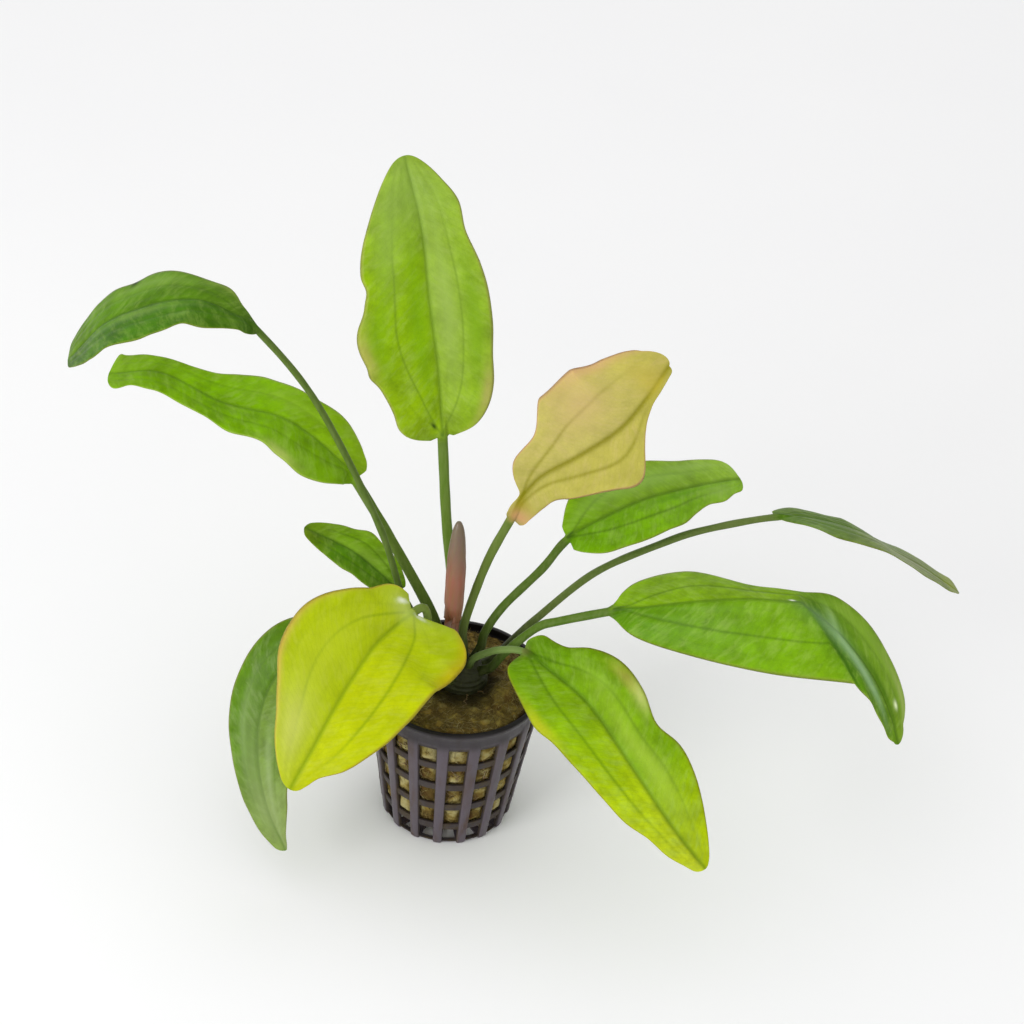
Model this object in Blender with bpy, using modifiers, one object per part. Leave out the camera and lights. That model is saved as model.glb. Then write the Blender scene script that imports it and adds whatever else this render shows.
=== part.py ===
# Amazon sword plant in a slotted net pot, with its rock wool plug, crown and leaves.
# Lengths below are millimetres and MM turns them into metres. +Z is up, the pot stands on
# z = 0 with its axis on the Z axis, and the plant's front faces -Y.

import math

import bmesh
import bpy
import numpy as np

MM = 0.001
SMOOTH_ANGLE = 40.0
MERGE_DISTANCE = 0.02
LEVEL_TOLERANCE = 0.01

# Net pot: a tapered cup with rows of openings between upright ribs.
POT_HEIGHT = 48.0
POT_TOP_RADIUS = 25.0
POT_BASE_RADIUS = 18.6
POT_WALL = 1.0
RIM_BAND = 6.75
OPENING_HEIGHT = 6.3
HOOP_HEIGHT = 2.4
FOOT_HOOP = 1.4
FULL_ROWS = 4
COLUMNS = 17
FACETS_PER_COLUMN = 3
OPENING_CENTRE_ANGLE = -82.5
FLOOR_SLOT_OUTER = 16.8
FLOOR_SLOT_INNER = 6.0

# Rock wool plug, wedged in the pot and a little lumpy.
FIT_GAP = 0.3
PLUG_BOTTOM = 7.0
PLUG_TOP_MIDDLE = 47.0
PLUG_TOP_EDGE = 46.3
PLUG_SHOULDER = 3.0
PLUG_STEPS = 36
PLUG_SIDE_GAP = 0.4
PLUG_SIDE_RINGS = 8
PLUG_TOP_RINGS = (0.0, 0.25, 0.42, 0.58, 0.72, 0.85, 0.94)
PLUG_DENT = 0.35
DENT_AROUND = (5, 3)
DENT_DOWN = (0.31, 0.23)
PLUG_FLAT_REACH = 8.0
LUMP_CENTRE = (13.0, -4.5)
LUMP_HEIGHT = 4.6
LUMP_RADIUS = 4.2
LUMP_SLOPE = 2.5
LUMP_CROWN_GAP = 1.0

# Crown, the short stem that the leaf stalks grow from.
CROWN_CENTRE = np.array([2.0, 0.0, 48.0])
CROWN_RADIUS = 7.0
CROWN_FOOT = 47.3
CROWN_SEGMENTS = 20
CROWN_RINGS = 12

# Leaves.
BLADE_THICKNESS = 0.8
BLADE_THINNING = 0.3
RIB_TIP_DEPTH = 0.5
RIB_FALL = 0.7
MIDDLE_OF_HALF = 0.55
LOBE_SPREAD = 0.1
LOBE_SLOPE = 0.7
STALK_STRAIGHT_START = 4.0
STALK_RING_SPACING = 9.0
STALK_MIN_RINGS = 3
HEADING_STEP = 0.005
RING_SIDES = 8
BLADE_RINGS = 14
CURVE_STEPS = 24
WIDTH_STEPS = 12
YOUNG_LEAF_FACING = np.array([0.0, -0.8, 0.6])


def unit(vector):
    return vector / np.linalg.norm(vector)


def catmull_rom(points, per_span):
    """Points of a uniform Catmull-Rom curve through the given points, ends mirrored."""
    p = np.asarray(points, float)
    p = np.vstack([2 * p[0] - p[1], p, 2 * p[-1] - p[-2]])
    t = np.linspace(0, 1, per_span, endpoint=False)[:, None]
    spans = []
    for a, b, c, d in zip(p, p[1:], p[2:], p[3:]):
        spans.append(0.5 * (2 * b + (c - a) * t + (2 * a - 5 * b + 4 * c - d) * t**2
                            + (3 * b - a - 3 * c + d) * t**3))
    spans.append(p[-2][None])
    return np.vstack(spans)


def cornered(points, corner):
    """Two such curves that meet in a corner at the point of that number."""
    first = catmull_rom(points[:corner + 1], CURVE_STEPS)
    return np.vstack([first, catmull_rom(points[corner:], CURVE_STEPS)[1:]])


def at_fraction(curve, fraction):
    """The point of a dense curve at a fraction of its length."""
    steps = np.linalg.norm(np.diff(curve, axis=0), axis=1)
    length = np.concatenate([[0], np.cumsum(steps)]) / steps.sum()
    return np.array([np.interp(fraction, length, curve[:, k]) for k in range(3)])


def heading(curve, fraction):
    """The curve's direction at a fraction of its length."""
    ahead = at_fraction(curve, min(fraction + HEADING_STEP, 1))
    behind = at_fraction(curve, max(fraction - HEADING_STEP, 0))
    return unit(ahead - behind)


def even_list(values, fraction):
    """A list of equal-spaced values read at a fraction of its length."""
    rows = np.atleast_2d(np.asarray(values, float))
    places = np.linspace(0, 1, len(rows)) if len(rows) > 1 else [0.0]
    return np.array([np.interp(fraction, places, rows[:, k]) for k in range(rows.shape[1])])


def half_width(widths, u):
    """Half width at u, from values at even angles between the blade's two pointed ends."""
    curve = catmull_rom([[0], *[[w] for w in widths], [0]], WIDTH_STEPS)[:, 0]
    place = math.acos(1 - 2 * min(max(u, 0), 1)) / math.pi * (len(widths) + 1)
    return max(0.0, float(np.interp(place * WIDTH_STEPS, np.arange(len(curve)), curve)))


def stalk_root(azimuth, elevation):
    """The stalk's first two points, straight out of the crown."""
    a = math.radians(azimuth)
    e = math.radians(elevation)
    way = np.array([math.cos(a) * math.cos(e), math.sin(a) * math.cos(e), math.sin(e)])
    start = CROWN_RADIUS + FIT_GAP
    return [CROWN_CENTRE + way * start, CROWN_CENTRE + way * (start + STALK_STRAIGHT_START)]


# Each leaf: the way its stalk leaves the crown (azimuth, elevation), the points that the stalk
# and the midrib pass through, the way the upper face looks, thirteen half widths from base to
# tip on the left and on the right of the midrib, how far each half is folded up (degrees), how
# far the base lobes reach back, and the stalk's radius at the crown and at the blade. A corner
# is the point, counted from the joint on, where the line bends sharply.
LEAVES = {
    "leaf_upper_left": dict(
        root=(190, 30),
        stalk=[(-11, -1, 61), (-17, 2, 74), (-25, 6, 95), (-43, 9, 130), (-59, 10, 150)],
        midrib=[(-66, 10, 155), (-76, 13, 156), (-88, 16, 151), (-101, 19, 142), (-112, 22, 127)],
        facing=[(0, -0.3, 1)], left=[2, 4, 5.5, 9, 10.5, 12.5, 13.5, 12.5, 11.5, 10, 7.5, 5, 3],
        right=[0.5, 1.5, 4, 6.5, 7.5, 10, 12, 11, 10.5, 9.5, 8.5, 7, 5], fold=[(5, 0)], lobe=(0, 0),
        radius=(0.95, 0.8)),
    "leaf_left": dict(
        root=(160, 52), stalk=[(-8.5, 5, 66), (-19, 9, 83), (-32, 14, 102)],
        midrib=[(-37, 15, 108), (-52, 19, 117), (-71, 23, 118), (-88, 27, 123), (-103, 31, 118)],
        facing=[(0, -0.3, 1)], left=[1.5, 4, 9, 12, 11.5, 10, 9, 6.5, 6.5, 6.5, 5.5, 6, 3.5],
        right=[1.5, 6, 9, 10.5, 10, 10.5, 11, 8, 5.5, 5, 5.5, 6, 6.2], fold=[(0, 5)], lobe=(2, 2),
        radius=(1.6, 1.25)),
    "leaf_tall": dict(
        root=(110, 55), stalk=[(-2.5, 7, 70), (-6.5, 10, 95), (-9.5, 14, 120)],
        midrib=[(-12, 19, 137), (-16, 25, 155), (-20, 33, 173), (-26, 42, 188)],
        facing=[(0.1, -1, 0.4)], left=[7.5, 11.5, 13, 15.6, 18.7, 20.6, 17.5, 17.5, 16, 13, 9.5, 6, 3],
        right=[2, 8.5, 12.5, 14.5, 15, 16, 16, 14.5, 11.5, 11, 8, 5.2, 2.6], fold=[(10, 10)],
        lobe=(1, 1), radius=(1.5, 1.3)),
    "leaf_yellow": dict(
        root=(130, 84), stalk=[(1, 2, 66), (5.5, 4, 86), (11, 7, 100)],
        midrib=[(14.3, 7.5, 108.7), (18.9, 8.5, 114.9), (27.7, 10.5, 120.8), (37.6, 15, 127.4),
                (44.1, 20, 135.2), (48.9, 25, 142.4)],
        facing=[(0.1, -0.9, 0.5)],
        left=[1.2, 1.5, 1.8, 5.3, 10, 17.5, 20, 21.2, 20.8, 17.3, 14.9, 12, 8],
        right=[3.4, 4.5, 5.8, 7, 8.7, 10.4, 12.8, 14.7, 5.7, 2.6, 2, 1.8, 1.5], fold=[(5, 5)],
        lobe=(1, 1), radius=(1.2, 1.1)),
    "leaf_back_right": dict(
        root=(25, 66), stalk=[(7, 3, 63), (11.5, 6, 70.5), (21, 12, 80), (27, 17, 87)],
        midrib=[(36, 23, 91), (47, 31, 93), (61, 41, 92), (76, 52, 89)],
        facing=[(0, -0.3, 1)], left=[1, 4, 9, 12.5, 13.5, 13, 12, 10.5, 9.5, 9, 8, 6.5, 4.5],
        right=[2, 7, 11, 12.5, 13.5, 14, 13.5, 10.5, 8, 8, 6, 5, 2.5], fold=[(8, 8)], lobe=(2, 2),
        radius=(1.5, 1.3)),
    "leaf_far_right": dict(
        root=(25, 32),
        stalk=[(16, 5, 61), (21, 8, 65.5), (36, 19, 75), (54, 27, 81.5), (66, 31, 85), (86, 37, 87.5)],
        midrib=[(99, 40, 86), (113, 42, 81), (127, 44, 72), (145, 46, 60)],
        facing=[(0.3, 0.3, 0.9)], left=[2, 5, 7, 6.5, 6, 6.5, 7, 8, 8.5, 8.5, 8, 7, 5.5],
        right=[1, 3.5, 8, 11, 11.5, 11.5, 11, 10, 9, 7.5, 6.5, 4, 1.5],
        fold=[(0, 0), (-4, 0), (2, 0), (-8, 0), (2, 0), (6, 0), (12, 0)], lobe=(2, 2),
        radius=(1.1, 0.95)),
    "leaf_front_right": dict(
        root=(300, 66), stalk=[(7, -5.2, 61.5), (11.5, -6.8, 65), (18, -9.5, 67.5)],
        midrib=[(25, -14, 66), (37, -26, 65), (49, -40, 58), (61, -52, 49), (71, -60, 42)],
        facing=[(0, -0.5, 0.8)], left=[3, 5.5, 8, 12, 14.5, 14, 12, 14, 13, 10.5, 7.5, 4.5, 2],
        right=[3.5, 7.5, 11, 14, 16, 15, 13.5, 12, 10.5, 7.5, 6, 4, 2.5], fold=[(8, 8)], lobe=(6, 6),
        radius=(1.15, 1.1)),
    "leaf_front_left": dict(
        root=(240, 32), stalk=[(-7.5, -8, 66), (-9.2, -5.5, 74), (-10.6, -6, 76.6), (-13, -9, 77)],
        midrib=[(-17, -14, 76), (-22, -21, 74), (-27, -30, 69), (-31, -38, 64), (-35, -45, 57),
                (-40, -52, 48)],
        facing=[(0, -0.8, 0.6)],
        left=[13.5, 19.5, 21.3, 21, 20.7, 20, 19, 17.2, 14.2, 10.5, 5.5, 3.5, 2],
        right=[6, 10, 12.5, 16.5, 21.3, 22.2, 21, 17, 13.5, 11, 8, 5, 2.5], fold=[(8, 8)],
        lobe=(7, 2.5), radius=(1.15, 1.1), corner=0),
    "leaf_low_left": dict(
        root=(212, 5), stalk=[(-15, -8, 57), (-24, -8, 65)],
        midrib=[(-38, -12, 65), (-47, -16, 59), (-52, -21, 47), (-52, -27, 34), (-48, -34, 22),
                (-42, -40, 13)],
        facing=[(-0.3, -0.6, 0.8), (-0.5, -0.8, 0.4)],
        left=[2, 5, 8.5, 9.5, 11, 12.5, 13, 12.5, 10.5, 8, 5.5, 2.5, 1],
        right=[2, 4.5, 6.5, 9, 10.5, 10.5, 10, 9, 7.5, 6.5, 5.5, 4, 2.5], fold=[(5, 5)], lobe=(3, 3),
        radius=(1.2, 1.1)),
    "leaf_small_left": dict(
        root=(155, 15), stalk=[(-13, 7, 62), (-18, 9, 69)],
        midrib=[(-26, 14, 73), (-34, 18, 76), (-47, 24, 77)],
        facing=[(0, -0.4, 1)], left=[1, 3, 5, 6, 6.5, 6.5, 7, 6.5, 5.5, 4.5, 3.5, 2.5, 1],
        right=[1, 3, 4.5, 6, 6.5, 7, 7.5, 6, 5.5, 4.5, 3.5, 2.5, 1.5], fold=[(8, 8)], lobe=(1, 1),
        radius=(0.85, 0.75)),
}

# The right-hand leaf bends down sharply along a crease half way, so its two edges are curves of
# their own that keep pace with the midrib, station by station, and all three turn at the crease.
FOLDED_LEAF = dict(
    root=(338, 42), stalk=[(13, -3, 61), (21, -3, 71), (27, -4, 75), (41, -6, 82)],
    midrib=[(51, -9, 87.5), (63, -12, 93), (76, -15, 98), (89, -17, 100), (99.5, -20, 94), (109, -25, 85.5),
            (115.5, -30, 76.5), (119, -34, 69)],
    left_edge=[(41, -5, 83), (46, 2, 86), (60, 3, 91), (76, -7, 96.5), (88, -12, 100), (99.5, -13, 99.5),
               (112, -17, 90), (120, -25, 77.5), (119, -34, 69)],
    right_edge=[(41, -7, 81), (48, -14, 80), (64, -21, 81), (84, -27, 83), (105, -30, 85), (109.5, -32, 81),
                (113, -33.5, 76), (116, -34, 71), (119, -34, 69)],
    corner=4, radius=(1.2, 1.1))

# The young leaf is still rolled up in a spear.
YOUNG_LEAF = dict(
    root=(225, 62), stalk=[(-2, -3, 62), (-2.4, -2, 69)],
    midrib=[(-2.6, -1, 83), (-2.8, 0, 93), (-2.8, 1, 102)],
    widths=[2.7, 2.9, 3, 3, 3, 2.8, 2.4, 1.8, 1], radius=1.6)
ROLL_STEP = 0.22

MATERIALS = {
    "pot_plastic": ((0.27, 0.25, 0.31), 0.35),
    "rock_wool": ((0.20, 0.15, 0.07), 0.95),
    "crown_tissue": ((0.22, 0.20, 0.07), 0.6),
    "leaf_green": ((0.20, 0.38, 0.05), 0.4),
    "leaf_khaki": ((0.45, 0.36, 0.14), 0.45),
    "leaf_rose": ((0.30, 0.13, 0.09), 0.5),
}


def material(name):
    found = bpy.data.materials.get(name)
    if found:
        return found
    colour, roughness = MATERIALS[name]
    made = bpy.data.materials.new(name)
    made.use_nodes = True
    shader = made.node_tree.nodes["Principled BSDF"]
    shader.inputs["Base Color"].default_value = (*colour, 1)
    shader.inputs["Roughness"].default_value = roughness
    shader.inputs["Metallic"].default_value = 0.0
    made.diffuse_color = (*colour, 1)
    return made


def add_object(name, mesh, material_name):
    made = bpy.data.objects.new(name, mesh)
    mesh.materials.clear()
    mesh.materials.append(material(material_name))
    collection.objects.link(made)
    mesh.shade_smooth()
    mesh.set_sharp_from_angle(angle=math.radians(SMOOTH_ANGLE))
    return made


def loft(rings, tip=None):
    """A closed mesh through rings of equal size, capped at its start and at its end or tip."""
    count = len(rings[0])
    points = [tuple(p * MM) for ring in rings for p in ring]
    faces = [tuple(range(count))]
    for i in range(len(rings) - 1):
        a = i * count
        b = a + count
        for k in range(count):
            n = (k + 1) % count
            faces.append((a + k, b + k, b + n, a + n))
    last = (len(rings) - 1) * count
    if tip is None:
        faces.append(tuple(range(last + count - 1, last - 1, -1)))
    else:
        points.append(tuple(tip * MM))
        for k in range(count):
            faces.append((last + k, len(points) - 1, last + (k + 1) % count))
    mesh = bpy.data.meshes.new("loft")
    mesh.from_pydata(points, [], faces)
    return mesh


def turned(name, profile, steps):
    """A mesh turned about Z from a profile of (radius, height) run down its outer side."""
    mesh = bpy.data.meshes.new(name + "_profile")
    points = [(r * MM, 0, z * MM) for r, z in profile]
    mesh.from_pydata(points, [(i, i + 1) for i in range(len(points) - 1)], [])
    outline = bpy.data.objects.new(name + "_profile", mesh)
    collection.objects.link(outline)
    screw = outline.modifiers.new("Turn", "SCREW")
    screw.axis = "Z"
    screw.angle = math.tau
    screw.steps = steps
    screw.render_steps = steps
    screw.use_merge_vertices = True
    screw.merge_threshold = MERGE_DISTANCE * MM
    bpy.context.view_layer.update()
    shape = bpy.data.meshes.new_from_object(outline.evaluated_get(bpy.context.evaluated_depsgraph_get()))
    bpy.data.objects.remove(outline)
    return shape


def pot_radius(z):
    return POT_BASE_RADIUS + (POT_TOP_RADIUS - POT_BASE_RADIUS) * z / POT_HEIGHT


def opening_rows():
    """Bottom and top height of each row of openings, counted down from the rim band."""
    rows = []
    top = POT_HEIGHT - RIM_BAND
    for _ in range(FULL_ROWS):
        rows.append((top - OPENING_HEIGHT, top))
        top -= OPENING_HEIGHT + HOOP_HEIGHT
    rows.append((FOOT_HOOP, top))
    return rows


def build_pot():
    rows = opening_rows()
    heights = [POT_HEIGHT]
    for low, high in rows:
        heights += [high, low]
    heights.append(0.0)
    profile = [(pot_radius(z), z) for z in heights]
    profile += [(FLOOR_SLOT_OUTER, 0.0), (FLOOR_SLOT_INNER, 0.0), (0.0, 0.0)]
    mesh = turned("net_pot", profile, COLUMNS * FACETS_PER_COLUMN)

    cup = bmesh.new()
    cup.from_mesh(mesh)
    facet = math.tau / (COLUMNS * FACETS_PER_COLUMN)
    cut = []
    for face in cup.faces:
        centre = face.calc_center_median() / MM
        column = int((math.atan2(centre.y, centre.x) % math.tau) / facet) % FACETS_PER_COLUMN
        if column == FACETS_PER_COLUMN - 1:
            continue
        in_row = any(low < centre.z < high for low, high in rows)
        in_slot = centre.z < LEVEL_TOLERANCE and FLOOR_SLOT_INNER < centre.xy.length < FLOOR_SLOT_OUTER
        if in_row or in_slot:
            cut.append(face)
    bmesh.ops.delete(cup, geom=cut, context="FACES")
    cup.to_mesh(mesh)
    cup.free()

    pot = add_object("net_pot", mesh, "pot_plastic")
    pot.rotation_euler.z = math.radians(OPENING_CENTRE_ANGLE) - facet
    wall = pot.modifiers.new("Wall", "SOLIDIFY")
    wall.thickness = POT_WALL * MM
    wall.offset = -1.0
    wall.use_even_offset = True


def build_plug():
    """The wool fills the cup; its side swells and dips and one tuft stands up by the crown."""
    inset = POT_WALL + PLUG_SIDE_GAP
    heights = np.linspace(PLUG_TOP_EDGE - PLUG_SHOULDER, PLUG_BOTTOM, PLUG_SIDE_RINGS)
    side = [(pot_radius(z) - inset, z) for z in heights]
    reach = side[0][0]
    top = [(reach * f, PLUG_TOP_EDGE + (PLUG_TOP_MIDDLE - PLUG_TOP_EDGE) * (1 - f**3))
           for f in PLUG_TOP_RINGS]
    mesh = turned("rock_wool_plug", [*top, *side, (0.0, PLUG_BOTTOM)], PLUG_STEPS)
    for vertex in mesh.vertices:
        x, y, z = vertex.co / MM
        r = math.hypot(x, y)
        angle = math.atan2(y, x)
        wave = math.sin(DENT_AROUND[0] * angle + DENT_DOWN[0] * z)
        cross_wave = math.cos(DENT_AROUND[1] * angle - DENT_DOWN[1] * z)
        dent = PLUG_DENT * (1 + wave * cross_wave)
        on_side = z < PLUG_TOP_EDGE - 0.5 * PLUG_SHOULDER
        if on_side and r > FIT_GAP:
            vertex.co.x -= dent * x / r * MM
            vertex.co.y -= dent * y / r * MM
        elif not on_side:
            away = math.hypot(x - LUMP_CENTRE[0], y - LUMP_CENTRE[1])
            vertex.co.z -= dent * min(1.0, max(0.0, r / PLUG_FLAT_REACH - 1)) * MM
            clear = math.hypot(x - CROWN_CENTRE[0], y - CROWN_CENTRE[1]) - CROWN_RADIUS - LUMP_CROWN_GAP
            share = min(1, max(0, clear / LUMP_SLOPE))
            vertex.co.z += LUMP_HEIGHT * math.exp(-(away / LUMP_RADIUS) ** 2) * share * MM
    add_object("rock_wool_plug", mesh, "rock_wool")


def build_crown():
    ball = bmesh.new()
    bmesh.ops.create_uvsphere(ball, u_segments=CROWN_SEGMENTS, v_segments=CROWN_RINGS,
                              radius=CROWN_RADIUS * MM)
    bmesh.ops.translate(ball, verts=ball.verts, vec=CROWN_CENTRE * MM)
    geometry = ball.verts[:] + ball.edges[:] + ball.faces[:]
    cut = bmesh.ops.bisect_plane(ball, geom=geometry, plane_co=(0, 0, CROWN_FOOT * MM),
                                 plane_no=(0, 0, -1), clear_outer=True)
    edges = [e for e in cut["geom_cut"] if isinstance(e, bmesh.types.BMEdge)]
    bmesh.ops.edgeloop_fill(ball, edges=edges)
    bmesh.ops.recalc_face_normals(ball, faces=ball.faces)
    mesh = bpy.data.meshes.new("crown")
    ball.to_mesh(mesh)
    ball.free()
    add_object("crown", mesh, "crown_tissue")


def blade_station(leaf, midrib, u):
    """Midrib point, the upper face's normal there and the two edge points, at u from base to tip."""
    point = at_fraction(midrib, u)
    along = heading(midrib, u)
    facing = even_list(leaf["facing"], u)
    normal = unit(facing - facing.dot(along) * along)
    across = np.cross(along, normal)
    folds = np.radians(even_list(leaf["fold"], u))
    edges = []
    for side, widths, fold, lobe in zip((-1, 1), (leaf["left"], leaf["right"]), folds, leaf["lobe"]):
        width = half_width(widths, u)
        outside = max(0.0, width - leaf["radius"][1])
        back = min(lobe, LOBE_SLOPE * outside) * math.exp(-(u / LOBE_SPREAD) ** 2)
        edges.append(point + side * across * width * math.cos(fold)
                     + normal * width * math.sin(fold) - along * back)
    return point, normal, edges


def folded_station(curves, u):
    """The same for the folded leaf, read from its three matched curves."""
    places = np.arange(len(curves[0]))
    index = u * places[-1]
    point, left, right = (np.array([np.interp(index, places, c[:, k]) for k in range(3)]) for c in curves)
    nearest = min(max(round(index), 1), places[-1] - 1)
    along = unit(curves[0][nearest + 1] - curves[0][nearest - 1])
    return point, unit(np.cross(right - left, along)), (left, right)


def round_ring(point, along, top, radii):
    """A ring about the line at the point, from the top round to the left."""
    side = np.cross(along, top)
    angles = np.arange(RING_SIDES) * math.tau / RING_SIDES
    return [point + r * (math.cos(a) * top - math.sin(a) * side) for r, a in zip(radii, angles)]


def stalk_rings(stalk, radius, normal):
    """Rings along the stalk, their top carried back from the blade's normal."""
    steps = np.linalg.norm(np.diff(stalk, axis=0), axis=1)
    count = max(STALK_MIN_RINGS, round(steps.sum() / STALK_RING_SPACING))
    rings = []
    top = normal
    for i in range(count, -1, -1):
        f = i / count
        point = at_fraction(stalk, f)
        along = heading(stalk, f)
        top = unit(top - top.dot(along) * along)
        r = radius[0] + (radius[1] - radius[0]) * f
        rings.append(round_ring(point, along, top, [r] * RING_SIDES))
    return rings[::-1]


def blade_ring(point, normal, edges, rib_top, rib_depth, thickness):
    """Rib top, then round by the left edge, the keel and the right edge."""
    left, right = edges
    ring = []
    for edge, order in ((left, 1), (right, -1)):
        out = edge - point
        middle = point + out * MIDDLE_OF_HALF
        up = unit(normal - normal.dot(unit(out)) * unit(out)) * thickness / 2
        ring.append([middle + up, edge, middle - up][::order])
    return [point + normal * rib_top, *ring[0], point - normal * rib_depth, *ring[1]]


def leaf_rings(leaf, stations, stalk):
    """All rings of one leaf: the stalk's, then the blade's up to just short of the tip."""
    rings = stalk_rings(stalk, leaf["radius"], stations[0][1])
    r = leaf["radius"][1]
    for i, (point, normal, edges) in enumerate(stations[1:], start=1):
        f = i / len(stations)
        depth = r + (RIB_TIP_DEPTH - r) * f**RIB_FALL
        thick = BLADE_THICKNESS * (1 - BLADE_THINNING * f)
        spread = [point + unit(p - point) * max(np.linalg.norm(p - point), depth) for p in edges]
        rings.append(blade_ring(point, normal, spread, thick / 2, depth, thick))
    return rings


def ring_places():
    """Stations that lie closer together near the base and the tip."""
    return [(1 - math.cos(math.pi * i / BLADE_RINGS)) / 2 for i in range(BLADE_RINGS)]


def leaf_line(leaf):
    """The dense curve of the stalk and that of the midrib, one line, sharply bent only at its corner."""
    stalk = [*stalk_root(*leaf["root"]), *leaf["stalk"]]
    points = [*stalk, *leaf["midrib"]]
    if "corner" in leaf:
        dense = cornered(points, len(stalk) - 1 + leaf["corner"])
    else:
        dense = catmull_rom(points, CURVE_STEPS)
    split = CURVE_STEPS * (len(stalk) - 1)
    return dense[:split + 1], dense[split:]


def build_leaf(name, leaf, material_name):
    stalk, midrib = leaf_line(leaf)
    stations = [blade_station(leaf, midrib, u) for u in ring_places()]
    add_object(name, loft(leaf_rings(leaf, stations, stalk), midrib[-1]), material_name)


def build_folded_leaf(name, leaf):
    stalk, midrib = leaf_line(leaf)
    curves = (midrib, *(cornered(leaf[side], leaf["corner"]) for side in ("left_edge", "right_edge")))
    stations = [folded_station(curves, i / BLADE_RINGS) for i in range(BLADE_RINGS)]
    add_object(name, loft(leaf_rings(leaf, stations, stalk), midrib[-1]), "leaf_green")


def build_young_leaf(name, leaf):
    """A spear whose radius winds in by ROLL_STEP once round, which leaves the free edge."""
    stalk, spear = leaf_line(leaf)
    top = YOUNG_LEAF_FACING
    rings = stalk_rings(stalk, (leaf["radius"], leaf["widths"][0]), top)
    wound = 1 - ROLL_STEP * np.arange(RING_SIDES) / (RING_SIDES - 1)
    for u in ring_places()[1::2]:
        point = at_fraction(spear, u)
        along = heading(spear, u)
        top = unit(top - top.dot(along) * along)
        rings.append(round_ring(point, along, top, half_width(leaf["widths"], u) * wound))
    add_object(name, loft(rings, spear[-1]), "leaf_rose")


for old in list(bpy.data.objects):
    bpy.data.objects.remove(old, do_unlink=True)

collection = bpy.data.collections.new("potted_amazon_sword_plant")
bpy.context.scene.collection.children.link(collection)

build_pot()
build_plug()
build_crown()
for leaf_name, leaf_shape in LEAVES.items():
    build_leaf(leaf_name, leaf_shape, "leaf_khaki" if leaf_name == "leaf_yellow" else "leaf_green")
build_folded_leaf("leaf_right", FOLDED_LEAF)
build_young_leaf("young_leaf", YOUNG_LEAF)
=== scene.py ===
import math
import bpy
import numpy as np
from mathutils import Matrix


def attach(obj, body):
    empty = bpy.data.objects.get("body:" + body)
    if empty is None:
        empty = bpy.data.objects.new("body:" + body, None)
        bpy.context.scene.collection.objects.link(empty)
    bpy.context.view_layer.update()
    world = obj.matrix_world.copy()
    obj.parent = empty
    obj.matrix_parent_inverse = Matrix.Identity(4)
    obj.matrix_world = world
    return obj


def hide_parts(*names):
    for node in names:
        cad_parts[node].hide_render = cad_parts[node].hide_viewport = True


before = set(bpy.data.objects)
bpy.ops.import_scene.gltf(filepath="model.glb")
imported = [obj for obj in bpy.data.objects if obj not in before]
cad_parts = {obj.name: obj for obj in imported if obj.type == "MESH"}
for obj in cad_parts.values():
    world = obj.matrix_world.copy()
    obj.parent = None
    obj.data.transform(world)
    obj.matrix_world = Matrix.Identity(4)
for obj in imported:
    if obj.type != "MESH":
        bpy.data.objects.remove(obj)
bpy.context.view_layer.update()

mm = 0.001
scene = bpy.context.scene


def tone(red, green, blue):
    # a screen colour from 0 to 255 as the linear values that shaders take
    level = np.array([red, green, blue]) / 255
    linear = np.where(level <= 0.04045, level / 12.92, ((level + 0.055) / 1.055) ** 2.4)
    return (*(float(v) for v in linear), 1.0)


def tonesOf(look):
    # the tone of every entry, under the same name
    return {key: tone(*colour) for key, colour in look.items()}


# camera

# angles in degrees; the focal length is in pixels of an image of that width
camera = dict(tilt=36.6, roll=5.7, distance=600.0, aim=(11.1, 0.0, 107.5), focalPixels=2248,
              imageWidth=1024, sensorWidth=36.0)


def placeCamera():
    # looks down by the tilt at the aim point, from straight in front, turned by the roll
    tilt, roll = math.radians(camera["tilt"]), math.radians(camera["roll"])
    ahead = np.array([0, math.cos(tilt), -math.sin(tilt)])
    right = np.array([1.0, 0, 0])
    up = np.cross(right, ahead)
    turnedRight = math.cos(roll) * right + math.sin(roll) * up
    turnedUp = math.cos(roll) * up - math.sin(roll) * right
    eye = (np.array(camera["aim"]) - ahead * camera["distance"]) * mm
    lens = bpy.data.cameras.new("camera")
    lens.sensor_width = camera["sensorWidth"]
    lens.lens = camera["focalPixels"] / camera["imageWidth"] * lens.sensor_width
    lens.clip_start, lens.clip_end = 0.01, 20.0
    cameraObject = bpy.data.objects.new("camera", lens)
    turn = np.column_stack([turnedRight, turnedUp, -ahead])
    cameraObject.matrix_world = Matrix.Translation(eye) @ Matrix(turn.tolist()).to_4x4()
    scene.collection.objects.link(cameraObject)
    scene.camera = cameraObject


placeCamera()
print("camera placed")


# surface tools

def unit(vectors):
    # each vector divided by its length
    return vectors / np.linalg.norm(vectors, axis=-1, keepdims=True)


def smoothStep(value, low, high):
    # 0 below low, 1 above high, and 3t^2 - 2t^3 between them
    t = np.clip((value - low) / (high - low), 0, 1)
    return t * t * (3 - 2 * t)


def direction(turn, lift):
    # the unit vector turned by that angle about z and lifted by the other from the floor
    return onCircle(np.cos(lift), turn, np.sin(lift))


def onCircle(radius, angle, height):
    # points at the radius and angle round z, at the height
    return np.stack(np.broadcast_arrays(radius * np.cos(angle), radius * np.sin(angle), height), -1)


def around(angle, side, front):
    # cosine of the angle times one vector plus its sine times the other
    return np.cos(angle)[..., None] * side + np.sin(angle)[..., None] * front


curveSteps = 24                                 # points in one span of a smooth curve


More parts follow.
